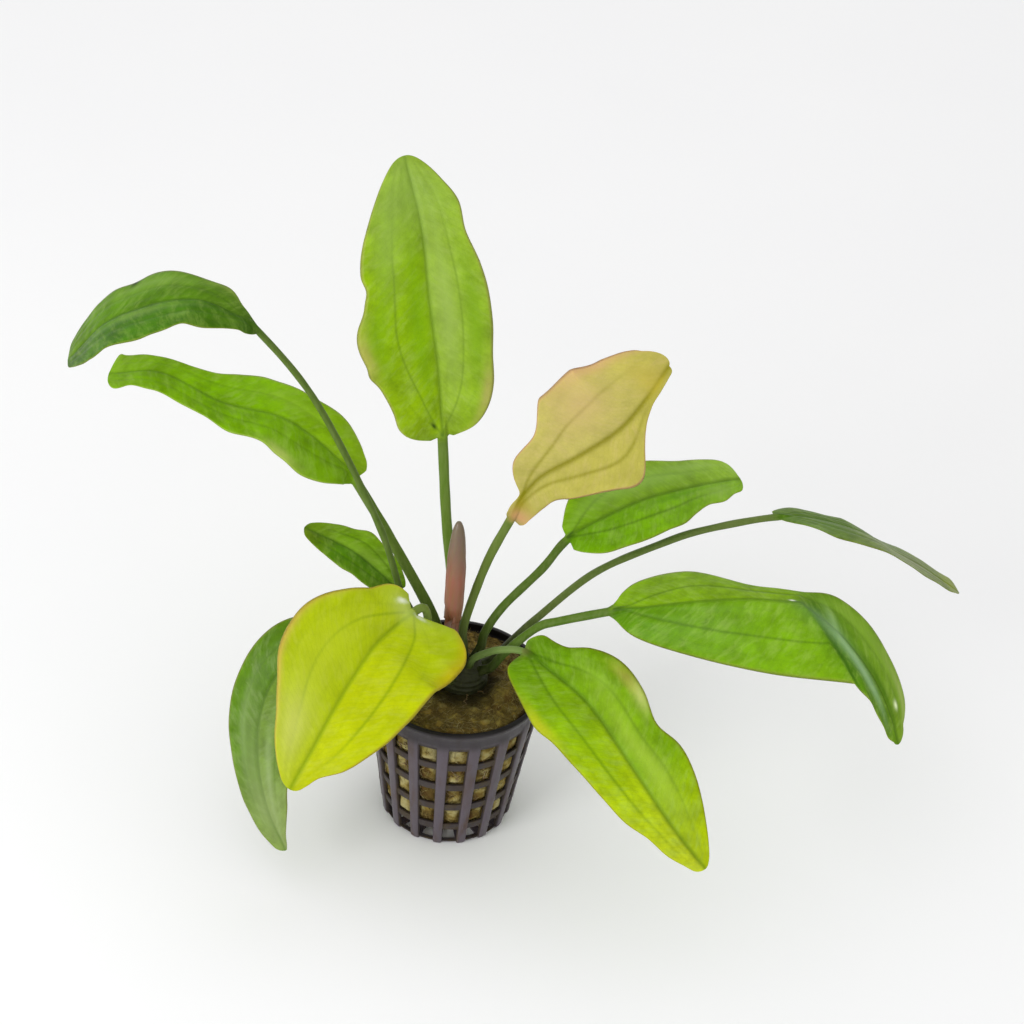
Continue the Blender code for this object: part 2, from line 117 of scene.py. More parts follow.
def curveThrough(points, perSpan=curveSteps):
    # uniform Catmull-Rom through the points, with mirrored ends, as a dense line
    p = np.asarray(points, float)
    p = np.vstack([2 * p[0] - p[1], p, 2 * p[-1] - p[-2]])
    a, b, c, d = (p[k:len(p) - 3 + k, None] for k in range(4))
    t = np.linspace(0, 1, perSpan, endpoint=False)[None, :, None]
    bends = (2 * a - 5 * b + 4 * c - d) * t**2 + (3 * b - a - 3 * c + d) * t**3
    spans = 0.5 * (2 * b + (c - a) * t + bends)
    return np.vstack([spans.reshape(-1, p.shape[1]), p[-2][None]])


def corneredCurve(points, corner):
    # two such curves that meet in a corner at the point of that number
    return np.vstack([curveThrough(points[:corner + 1]), curveThrough(points[corner:])[1:]])


def alongLine(line, fractions):
    # points of a dense line at the given fractions of its length
    steps = np.linalg.norm(np.diff(line, axis=0), axis=1)
    lengths = np.concatenate([[0], np.cumsum(steps)]) / steps.sum()
    return np.stack([np.interp(fractions, lengths, line[:, k]) for k in range(line.shape[1])], -1)


def lineLength(line):
    # the sum of its steps
    return float(np.linalg.norm(np.diff(line, axis=0), axis=1).sum())


def evenList(values, fractions):
    # evenly spaced values read at the fractions, one column for each number in an entry
    table = np.atleast_2d(np.asarray(values, float))
    places = np.linspace(0, 1, len(table)) if len(table) > 1 else np.array([0.0])
    return np.stack([np.interp(fractions, places, table[:, k]) for k in range(table.shape[1])], -1)


def waviness(points, size, seed, count=14):
    # a sum of sine waves in random directions, about -1 to 1, whose length is near the size
    draw = np.random.default_rng(seed)
    directions = unit(draw.normal(size=(count, points.shape[-1])))
    lengths = size * draw.uniform(0.6, 1.6, count)
    phases = draw.uniform(0, 2 * math.pi, count)
    waves = np.sin(points @ (directions / lengths[:, None]).T * 2 * math.pi + phases)
    return waves.mean(-1) * math.sqrt(count) / 1.5


def meshObject(name, points, faces, smooth=True, places=None):
    # points in mm go into a mesh at the origin; places are per-point attributes for the finish
    mesh = bpy.data.meshes.new(name)
    mesh.from_pydata((np.asarray(points) * mm).tolist(), [], faces)
    for key, values in (places or {}).items():
        layer = mesh.attributes.new(key, "FLOAT_VECTOR", "POINT")
        layer.data.foreach_set("vector", np.asarray(values, np.float32).ravel())
    mesh.polygons.foreach_set("use_smooth", [smooth] * len(mesh.polygons))
    mesh.update()
    made = bpy.data.objects.new(name, mesh)
    scene.collection.objects.link(made)
    return made


def ringFaces(rows, columns):
    # quads of a grid whose columns close into a ring, wound to face outwards
    row, column = np.meshgrid(np.arange(rows - 1), np.arange(columns), indexing="ij")
    here = row * columns + column
    beside = row * columns + (column + 1) % columns
    return np.stack([here, here + columns, beside + columns, beside], -1).reshape(-1, 4).tolist()


def closedTube(rings, start, end):
    # rings (rows, columns, 3) with a point closing each end
    rows, columns = rings.shape[:2]
    points = np.vstack([rings.reshape(-1, 3), start[None], end[None]])
    faces = ringFaces(rows, columns)
    first = np.arange(columns)
    last = (rows - 1) * columns + first
    turn = np.roll(np.arange(columns), -1)
    startFan = np.stack([np.full(columns, rows * columns), first, turn], -1)
    endFan = np.stack([last, np.full(columns, rows * columns + 1), (rows - 1) * columns + turn], -1)
    return points, faces + startFan.tolist() + endFan.tolist()


# finishes

class Strand:
    # one socket in a finish's node tree; arithmetic on it adds Math nodes
    def __init__(self, finish, socket):
        self.finish = finish
        self.socket = socket

    def __add__(self, other):
        return self.finish.maths("ADD", self, other)

    def __sub__(self, other):
        return self.finish.maths("SUBTRACT", self, other)

    def __rsub__(self, other):
        return self.finish.maths("SUBTRACT", other, self)

    def __mul__(self, other):
        return self.finish.maths("MULTIPLY", self, other)

    def __truediv__(self, other):
        return self.finish.maths("DIVIDE", self, other)

    def __pow__(self, other):
        return self.finish.maths("POWER", self, other)

    def __neg__(self):
        return self.finish.maths("MULTIPLY", self, -1.0)

    __radd__ = __add__
    __rmul__ = __mul__


class Finish:
    # a material whose nodes are added by the one method add()
    def __init__(self, name, **constants):
        self.material = bpy.data.materials.new(name)
        self.material.use_nodes = True
        self.tree = self.material.node_tree
        self.surface = self.tree.nodes["Principled BSDF"]
        for key, value in constants.items():
            self.surface.inputs[key.replace("_", " ")].default_value = value

    def add(self, kind, settings=None, stops=None, output=0, **sockets):
        # sockets are named with _ for a space, or in0, in1 ... by their place
        node = self.tree.nodes.new("ShaderNode" + kind)
        for key, value in (settings or {}).items():
            setattr(node, key, value)
        if stops:
            ramp = node.color_ramp
            while len(ramp.elements) < len(stops):
                ramp.elements.new(0.5)
            for element, (place, colour) in zip(ramp.elements, stops):
                element.position = place
                element.color = colour
        for key, value in sockets.items():
            socket = node.inputs[int(key[2:]) if key[:2] == "in" else key.replace("_", " ")]
            if isinstance(value, Strand):
                self.tree.links.new(value.socket, socket)
            else:
                socket.default_value = value
        return Strand(self, node.outputs[output])

    def maths(self, operation, first, second=0.0):
        return self.add("Math", {"operation": operation}, in0=first, in1=second)

    def bell(self, value, middle, width):
        # 1 at the middle, falling to 0 on both sides as a bell curve does
        away = (value - middle) / width
        return self.maths("EXPONENT", -(away * away))

    def ease(self, value, low, high):
        # a smooth step from 0 at low to 1 at high
        return self.add("MapRange", {"interpolation_type": "SMOOTHSTEP"}, Value=value,
                        From_Min=low, From_Max=high)

    def mix(self, factor, first, second):
        # the first colour at factor 0, the second at 1
        return self.add("Mix", {"data_type": "RGBA"}, output=2, in0=factor, in6=first, in7=second)

    def noise(self, place, scale, detail=3.0, roughness=0.55):
        return self.add("TexNoise", Vector=place, Scale=scale, Detail=detail, Roughness=roughness)

    def streaks(self, place, squash, scale, detail):
        # noise drawn out upwards, because its z is squashed
        tall = self.add("VectorMath", {"operation": "MULTIPLY"}, in0=place, in1=(1.0, 1.0, squash))
        return self.noise(tall, scale, detail)

    def parts(self, vector):
        return [self.add("SeparateXYZ", Vector=vector, output=k) for k in range(3)]

    def ramp(self, place, *stops):
        # the tones of the stops, blended by the place
        return self.add("ValToRGB", None, [(at, tone(*colour)) for at, colour in stops], Fac=place)

    def attribute(self, name):
        return self.parts(self.add("Attribute", {"attribute_name": name}, output=1))

    def objectPlace(self):
        return self.add("TexCoord", output=3)

    def feed(self, name, value):
        self.tree.links.new(value.socket, self.surface.inputs[name])

    def bump(self, height, distance, strength=1.0):
        self.feed("Normal", self.add("Bump", Height=height, Distance=distance * mm, Strength=strength))


def dress(piece, finish, slot, *nodes):
    # the finish, the root body, the slot (not used), and the nodes that the piece stands in for
    piece.data.materials.clear()
    piece.data.materials.append(finish.material)
    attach(piece, "root")
    if nodes:
        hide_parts(*nodes)


# leaves

crown = dict(centre=(2.0, 0.0, 48.0), radius=7.0, stalkGap=0.3)
leafGrid = dict(acrossHalf=24, bladeRows=150, stalkRowSpacing=1.2, stalkSink=1.6, stalkRise=4.0,
                crowding=1.45, widthSteps=12, evenRows=14)
blade = dict(thickness=0.42, edgeThickness=0.14, arch=0.12, quilt=0.07, foldBlend=3.0, stalkBlend=0.1,
             tipBlend=0.9, edgeWave=0.45, edgeWaveLength=13.0, broadWave=0.3, broadWaveLength=24.0,
             fineWave=0.03, fineWaveLength=4.0, keelShrink=0.82, keelPower=1.2, keelTip=0.12,
             ribGroove=0.16, ribGrooveWidth=0.8, veinGroove=0.1, veinRidge=0.2, veinWidth=0.45)
stalkShape = dict(rootSwell=0.3, swellLength=4.0, unevenness=0.05, unevenLength=9.0, flatTop=0.16)
# side veins: how far out each runs (share of the half width), how slowly it leaves the midrib,
# and its strength
sideVeins = ((0.26, 0.24, 0.15), (0.53, 0.13, 1.0), (0.80, 0.09, 0.2))


def stalkStart(root):
    # three points straight out of the crown, the first one inside it; root is the turn and lift
    # of that direction in degrees
    way = direction(*np.radians(root))
    skin = crown["radius"] + crown["stalkGap"]
    steps = (-leafGrid["stalkSink"], 0.0, leafGrid["stalkRise"])
    return [np.array(crown["centre"]) + way * (skin + step) for step in steps]


def halfWidths(widths, u):
    # thirteen half widths between two pointed ends, spaced evenly in angle, read along a smooth curve
    steps = leafGrid["widthSteps"]
    line = curveThrough([[0], *[[w] for w in widths], [0]], steps)[:, 0]
    place = np.arccos(np.clip(1 - 2 * u, -1, 1)) / math.pi * (len(widths) + 1)
    return np.maximum(np.interp(place * steps, np.arange(len(line)), line), 0)


def carriedNormals(tangents, first):
    # the first normal carried along the line so that it never spins
    normals = [first]
    for tangent in tangents[1:]:
        last = normals[-1] - normals[-1].dot(tangent) * tangent
        normals.append(last / np.linalg.norm(last))
    return np.array(normals)


def evened(values, span=leafGrid["evenRows"]):
    # a running mean down each column, so that veins don't follow the outline's bumps
    weights = np.hanning(2 * span + 3)[1:-1]
    padded = np.pad(values, ((span, span), (0, 0)), mode="edge")
    window = np.lib.stride_tricks.sliding_window_view(padded, 2 * span + 1, axis=0)
    return (window * weights).sum(-1) / weights.sum()


def sideVeinPlaces(u, veins):
    # reach times 1 - e^(-u / slow), as a share of the half width
    return [reach * (1 - np.exp(-np.maximum(u, 0) / slow)) for reach, slow, _ in veins]


def leafRows(leaf):
    # points, directions, normals and edge vectors of the rows: stalk first, then blade
    stalkPoints = [*stalkStart(leaf["root"]), *leaf["stalk"]]
    linePoints = [*stalkPoints, *leaf["midrib"]]
    corner = leaf.get("corner")
    cut = len(stalkPoints) - 1
    line = curveThrough(linePoints) if corner is None else corneredCurve(linePoints, cut + corner)
    split = curveSteps * cut
    stalkLine, ribLine = line[:split + 1], line[split:]
    count = leafGrid["bladeRows"]
    u = (1 - np.cos(math.pi * np.arange(count + 1) / count)) / 2
    if "leftEdge" in leaf:
        # even rows that draw together over the last tenth
        u = np.arange(count + 1) / count
        late = np.clip((u - 0.9) / 0.1, 0, 1)
        u = np.minimum(u, 0.9) + 0.1 * (late + late**2 - late**3)
        index = u * (len(ribLine) - 1)
        curves = [ribLine, *(corneredCurve(leaf[key], corner) for key in ("leftEdge", "rightEdge"))]
        read = [np.stack([np.interp(index, np.arange(len(c)), c[:, k]) for k in range(3)], -1)
                for c in curves]
        points = read[0]
        tangents = unit(np.gradient(points, axis=0))
        # the last stretch stays wide and closes in a blunt round tip
        near = np.clip((u - leaf["tipFrom"]) / (1 - leaf["tipFrom"]), 0, 1 - 1e-6)
        blunt = (np.sqrt(1 - near**2) / (1 - near))[:, None]
        reach = [read[k] - points for k in (1, 2)]
        sideways = [r - (r * tangents).sum(-1, keepdims=True) * tangents for r in reach]
        edges = [r + s * (blunt - 1) for r, s in zip(reach, sideways)]
        normals = unit(np.cross(edges[1][:-1] - edges[0][:-1], tangents[:-1]))
        normals = np.vstack([normals, normals[-1]])
        lobes = [np.zeros(count + 1)] * 2
    else:
        points = alongLine(ribLine, u)
        after, before = np.minimum(u + 0.004, 1), np.maximum(u - 0.004, 0)
        tangents = unit(alongLine(ribLine, after) - alongLine(ribLine, before))
        facing = evenList(leaf["facing"], u)
        normals = unit(facing - (facing * tangents).sum(-1, keepdims=True) * tangents)
        across = np.cross(tangents, normals)
        folds = np.radians(evenList(leaf["fold"], u))
        edges, lobes = [], []
        for k, side in enumerate((-1, 1)):
            width = halfWidths(leaf[("left", "right")[k]], u)[:, None]
            for at, size, height in leaf.get(("leftBumps", "rightBumps")[k], ()):
                width = width + height * np.exp(-((u[:, None] - at) / size) ** 2) * (width > 0.5)
            fold = folds[:, k:k + 1]
            edges.append(width * (side * across * np.cos(fold) + normals * np.sin(fold)))
            outside = np.maximum(width[:, 0] - leaf["radius"][1], 0)
            lobes.append(np.minimum(leaf["lobe"][k], 0.7 * outside) * np.exp(-(u / 0.1) ** 2))
    return dict(stalk=stalkLine, u=u, points=points, tangents=tangents, normals=normals, edges=edges,
                lobes=lobes, length=lineLength(ribLine))


def columnPlaces(half, stalkness):
    # places across from 1 (right edge) over the top to -1 and back under, crowded near the midrib
    # on the blade and evenly round on the stalk; and which of them are on top
    share = np.arange(-half, half + 1)[::-1] / half
    flatShare = np.sign(share) * np.abs(share) ** leafGrid["crowding"]
    roundShare = np.sin(share * math.pi / 2)
    top = flatShare[None] * (1 - stalkness[:, None]) + roundShare[None] * stalkness[:, None]
    onTop = np.concatenate([np.ones(2 * half + 1), np.zeros(2 * half - 1)])
    return np.concatenate([top, top[:, -2:0:-1]], 1), onTop


def stalkTube(leaf, rows, share, above, seed):
    # rings from the blade back to the crown: a circle, a little flat on top, whose radius grows
    # evenly along the stalk and swells by e^(-d / length) at the distance d from its root
    baseRadius, topRadius = leaf["radius"]
    stalk = rows["stalk"][::-1]
    stalkLength = lineLength(stalk)
    count = int(stalkLength / leafGrid["stalkRowSpacing"])
    f = np.arange(1, count + 1) / count
    centre = alongLine(stalk, f)
    before, after = np.maximum(f - 0.01, 0), np.minimum(f + 0.01, 1)
    way = unit(alongLine(stalk, before) - alongLine(stalk, after))
    normal = carriedNormals(np.vstack([rows["tangents"][:1], way]), rows["normals"][0])[1:]
    side = np.cross(way, normal)
    distance = f * stalkLength
    swell = stalkShape["rootSwell"] * np.exp((distance - stalkLength) / stalkShape["swellLength"])
    uneven = stalkShape["unevenness"] * waviness(centre, stalkShape["unevenLength"], seed + 5)
    radius = topRadius + (baseRadius - topRadius) * f + blade["keelTip"] * (1 - f)
    radius = radius * (1 + swell) * (1 + uneven)
    height = np.sqrt(np.maximum(1 - share**2, 0)) * np.where(above, 1, -1)
    height = height * (1 - stalkShape["flatTop"] * np.maximum(height, 0) ** 4)
    ring = side[:, None] * share[:, :, None] + normal[:, None] * height[:, :, None]
    rings = centre[:, None] + ring * radius[:, None, None]
    return dict(rings=rings, f=f, distance=distance, radius=radius, root=centre[-1])


def leafSkin(name, leaf, seed):
    # Blade: rib point + share of the edge vector, lifted along the half's normal by arch, quilting,
    # waves and vein grooves, plus half the thickness; the stalk's circle sinks into it as a keel.
    rows = leafRows(leaf)
    u, half = rows["u"], leafGrid["acrossHalf"]
    keel = leaf["radius"][1] * (1 - blade["keelShrink"] * u) ** blade["keelPower"] + blade["keelTip"]
    stalkness = 1 - smoothStep(u, 0.0, blade["stalkBlend"])
    tipness = smoothStep(u, blade["tipBlend"], 1.0)
    q, onTop = columnPlaces(half, stalkness)
    a = np.abs(q)
    isRight = (q > 0) | ((q == 0) & (onTop[None] > 0.5))
    pick = isRight[:, :, None]
    widths, sides = [], []
    for k, side in enumerate((-1, 1)):
        raw = np.linalg.norm(rows["edges"][k], axis=-1)
        across = side * np.cross(rows["tangents"], rows["normals"])
        way = np.where(raw[:, None] > 0.4, rows["edges"][k] / np.maximum(raw[:, None], 1e-6), across)
        widths.append(np.sqrt(raw**2 + (keel * (1 - tipness)) ** 2))
        sides.append((way, unit(side * np.cross(way, rows["tangents"]))))
    width = np.where(isRight, widths[1][:, None], widths[0][:, None])
    way = np.where(pick, sides[1][0][:, None], sides[0][0][:, None])
    halfNormal = np.where(pick, sides[1][1][:, None], sides[0][1][:, None])
    middle = rows["normals"][:, None]
    x = a * width
    evenWidth = np.where(isRight, *(evened(w[:, None]) for w in widths[::-1]))
    veinShare = x / np.maximum(evenWidth, 0.1)
    blendOut = smoothStep(x, 0.0, blade["foldBlend"])[:, :, None]
    normal = unit(middle * (1 - blendOut) + halfNormal * blendOut)
    flat = (1 - stalkness)[:, None] * smoothStep(1 - u, 0.0, 0.06)[:, None]
    along = (u * rows["length"])[:, None]

    lift = blade["arch"] * width * a * (1 - a) * flat
    veinSet = leaf["look"].get("sideVeins", sideVeins)
    veins = sideVeinPlaces(u, veinSet)
    bounds = [np.zeros_like(u), *veins, np.ones_like(u)]
    for low, high in zip(bounds, bounds[1:]):
        share = np.clip((veinShare - low[:, None]) / np.maximum(high - low, 0.02)[:, None], 0, 1)
        lift = lift + blade["quilt"] * np.sin(share * math.pi) ** 2 * flat * smoothStep(width, 3, 9)
    sidePhase = np.where(isRight, 1.7, 5.1)
    edgeSpace = np.stack([along / blade["edgeWaveLength"] + 0 * a, sidePhase + 0 * a], -1)
    edgeWave = leaf.get("edgeWave", blade["edgeWave"]) * waviness(edgeSpace, 1.0, seed)
    lift = lift + edgeWave * a**2.2 * flat * smoothStep(width, 2, 8)
    points = rows["points"][:, None] + way * x[:, :, None]
    lobe = np.where(isRight, rows["lobes"][1][:, None], rows["lobes"][0][:, None])
    points = points - rows["tangents"][:, None] * (lobe * a**1.2)[:, :, None]
    # a tip that bulges forwards between the midrib's end and the corner of the outline
    for k, bulge in enumerate(leaf.get("tipBulge", ())):
        cross = np.clip(x / np.interp(0.985, u, widths[k]), 0, 1) ** 0.65
        forward = bulge * 4 * cross * (1 - cross) * tipness[:, None] * (isRight == bool(k))
        points = points + rows["tangents"][:, None] * forward[:, :, None]
    lift = lift + blade["broadWave"] * waviness(points, blade["broadWaveLength"], seed + 1) * flat
    fineWave = blade["fineWave"] * waviness(points, blade["fineWaveLength"], seed + 2)
    lift = lift + fineWave * flat * smoothStep(a, 0.0, 0.1)

    thick = (blade["edgeThickness"] + (blade["thickness"] - blade["edgeThickness"]) * (1 - a**1.5)) / 2
    circle = np.sqrt(np.maximum(keel[:, None] ** 2 - x**2, 0))
    topKeep = 0.06 + 0.94 * (1 - smoothStep(u, 0.0, 0.12))[:, None]
    groove = blade["ribGroove"] * np.exp(-(x / blade["ribGrooveWidth"]) ** 2) * flat
    ridge = 0
    for place, (_, _, strength) in zip(veins, veinSet):
        near = np.exp(-((x - place[:, None] * evenWidth) / blade["veinWidth"]) ** 2)
        near = near * flat * smoothStep(width, 2, 5) * strength
        groove = groove + blade["veinGroove"] * near
        ridge = ridge + blade["veinRidge"] * near
    above = onTop[None] > 0.5
    upper = np.maximum(thick, circle * topKeep) - groove
    offset = np.where(above, upper, -np.maximum(thick, circle + ridge))
    offset = np.where(a > 0.999, 0, offset)       # both faces meet at the margin
    skin = points + normal * (lift + offset)[:, :, None]

    share = q[:1]
    stalk = stalkTube(leaf, rows, share, above, seed)
    f, distance, radius = stalk["f"], stalk["distance"], stalk["radius"]
    rings = np.concatenate([stalk["rings"][::-1], skin[:-1]])
    points, faces = closedTube(rings, stalk["root"], rows["points"][-1])
    columns = len(onTop)
    # leafPlace: along (-1 to 0 on the stalk, 0 to 1 on the blade), across, on top
    # leafSpan: mm along from the blade's base, mm across from the midrib, evened half width
    uAll = np.concatenate([-f[::-1], u[:-1]])
    qAll = np.concatenate([np.repeat(share, len(f), 0), q[:-1]])
    place = np.stack([np.repeat(uAll, columns), qAll.ravel(), np.tile(onTop, len(uAll))], -1)
    sAll = np.concatenate([-distance[::-1], u[:-1] * rows["length"]])
    stalkRadii = np.repeat(radius[::-1, None], columns, 1)
    xAll = np.concatenate([stalkRadii * np.abs(share), x[:-1]])
    wAll = np.concatenate([stalkRadii, evenWidth[:-1]])
    span = np.stack([np.repeat(sAll, columns), xAll.ravel(), wAll.ravel()], -1)
    ends = np.array([[uAll[0], 0, 1], [1, 0, 1]]), np.array([[sAll[0], 0, 1], [rows["length"], 0, 0]])
    return meshObject(name, points, faces,
                      places=dict(leafPlace=np.vstack([place, ends[0]]),
                                  leafSpan=np.vstack([span, ends[1]])))


leafGloss = dict(Specular_IOR_Level=0.07, Subsurface_Weight=0.1, Subsurface_Radius=(0.9, 1.0, 0.25),
                 Subsurface_Scale=0.0012, Coat_Weight=0.015, Coat_Roughness=0.18)
veinLook = dict(midribWidth=0.5, sideWidth=0.34, midribDepth=0.55, sideDepth=0.45, ladderGap=1.6,
                ladderSlant=0.75, ladderWander=3.2, ladderDepth=0.07, ladderThinness=5.0,
                cellSize=1.1, cellDepth=0.05)
roughLook = dict(base=0.38, fine=0.22, veins=0.1, under=0.12)
mottling = dict(broad=0.5, blotch=0.8, fine=0.4, strokes=0.3, strokeGap=2.4, strokeLength=5.0,
                strokeWarp=1.6)
# tones that a leaf has unless its own look names others
usualTones = dict(pale=(156, 184, 84), vein=(62, 96, 10), edge=(150, 150, 70), under=(122, 150, 72),
                  stalkRootShade=(38, 44, 16), stalkStreak=(136, 146, 92))


def leafFinish(name, look):
    # left and right halves run through their tones from base to tip; veins, mottling, a paler
    # underside, a tinted margin and the patches that this leaf has are laid over them; some tones
    # and patches are painted sheen, highlights and shade, and painted shade darkens the stalk by the
    # crown
    f = Finish(name, **leafGloss)
    tones = tonesOf({key: look.get(key, usual) for key, usual in usualTones.items()})
    u, q, onTop = f.attribute("leafPlace")
    s, x, width = f.attribute("leafSpan")
    place = f.objectPlace()
    a = f.maths("ABSOLUTE", q)

    def spotted(colour, atQ, atU, wideQ, longU, spotTone, share, lean=0.0, ragged=False):
        # a soft spot: place across and along, reach across and along, tone and its share;
        # a lean slides it across as it goes towards the tip
        spot = f.bell(q - (u - atU) * lean, atQ, wideQ) * f.bell(u, atU, longU) * onTop
        if ragged:
            spot = spot * f.ease(fine + spot * 0.5, 0.45, 0.75)
        return f.mix(spot * share, colour, tone(*spotTone))

    right = f.ease(q, -0.05, 0.05)
    turnFrom, turnTo = look.get("turn", (0.42, 0.62))
    halves = []
    for side in ("left", "right"):
        base, *middle, tip = look[side]
        halves.append(f.ramp(u, (0.0, base), (turnFrom, middle[0]), (turnTo, middle[-1]), (1.0, tip)))
    colour = f.mix(right, *halves)

    broad = f.noise(place, 70.0, 2.0)
    blotch = f.noise(place, 210.0, 3.0, 0.55)
    fine = f.noise(place, 480.0, 4.0, 0.6)
    grains = ((broad, "broad"), (blotch, "blotch"), (fine, "fine"))
    mottle = sum((grain - 0.5) * mottling[key] for grain, key in grains)
    bright = 1 + mottle * look.get("mottle", 1.0)
    colour = f.add("VectorMath", {"operation": "SCALE"}, in0=colour, Scale=bright)
    # pale strokes that follow the cross veins outwards
    outward = s + x * veinLook["ladderSlant"]
    across = outward / mottling["strokeGap"] + blotch * mottling["strokeWarp"]
    strokePlace = f.add("CombineXYZ", in0=across, in1=x / mottling["strokeLength"], in2=right * 7.0)
    strokes = f.ease(f.noise(strokePlace, 1.0, 3.0, 0.6), 0.42, 0.72)
    colour = f.mix(strokes * mottling["strokes"], colour, tones["pale"])

    # side veins and the ladder of fine cross veins between them
    spread = look.get("veinSpread", 1.0)
    dark = f.bell(x, 0.0, veinLook["midribWidth"] * spread) * veinLook["midribDepth"]
    for reach, slow, strength in look.get("sideVeins", sideVeins):
        curve = reach * (1 - f.maths("EXPONENT", u * (-1 / slow)))
        line = f.bell(x - curve * width, 0.0, veinLook["sideWidth"] * spread) * f.ease(u, 1.0, 0.55)
        dark = dark + line * (veinLook["sideDepth"] * strength)
    wander = f.noise(place, 150.0, 2.0)
    phase = (outward + wander * veinLook["ladderWander"]) * (math.tau / veinLook["ladderGap"])
    ladder = (f.maths("SINE", phase) * 0.5 + 0.5) ** veinLook["ladderThinness"]
    ladder = ladder * f.ease(x, 0.5, 1.5) * f.ease(u, 0.02, 0.1)
    cellScale = 1 / (veinLook["cellSize"] * mm)
    cells = f.add("TexVoronoi", {"feature": "DISTANCE_TO_EDGE"}, Vector=place, Scale=cellScale)
    cellLine = 1 - f.ease(cells, 0.0, 0.16)
    inBlade = f.ease(u, -0.004, 0.012)
    ladderDepth = veinLook["ladderDepth"] * look.get("ladder", 1.0)
    shade = dark + ladder * ladderDepth + cellLine * veinLook["cellDepth"]
    colour = f.mix(shade * inBlade * look.get("veinShare", 1.0), colour, tones["vein"])

    edge = f.ease(a, 0.93, 1.0) * f.ease(width, 1.5, 3.0) * look.get("edgeShare", 0.45) * inBlade
    colour = f.mix(edge * (0.6 + broad * 0.6), colour, tones["edge"])
    for patch in look.get("patches", ()):
        colour = spotted(colour, *patch)

    colour = f.mix(onTop, f.mix(0.42, colour, tones["under"]), colour)
    # the stalk's colour, which also runs on under the blade along the midrib
    # painted shade: the stalk darkens towards the crown, where the stalks crowd together
    stalkColour = f.mix(f.ease(u, -0.62, -0.97), tone(*look["stalk"]), tones["stalkRootShade"])
    streaks = f.streaks(place, 0.12, 900.0, 3.0)
    stalkColour = f.mix((streaks - 0.35) * 0.5, stalkColour, tones["stalkStreak"])
    ribBelow = f.bell(x, 0.0, 0.9) * (1 - onTop) * 0.7
    f.feed("Base Color", f.mix(f.ease(u, -0.03, 0.035) * (1 - ribBelow), stalkColour, colour))

    rough = roughLook["base"] + (fine - 0.5) * roughLook["fine"] + dark * roughLook["veins"]
    f.feed("Roughness", rough + (1 - onTop) * roughLook["under"])
    relief = (fine - 0.5) * 0.5 - (ladder * 0.3 + cellLine * 0.2) * inBlade
    relief = relief + (streaks - 0.5) * (1 - inBlade)
    f.bump(relief, 0.08, 0.6)
    return f


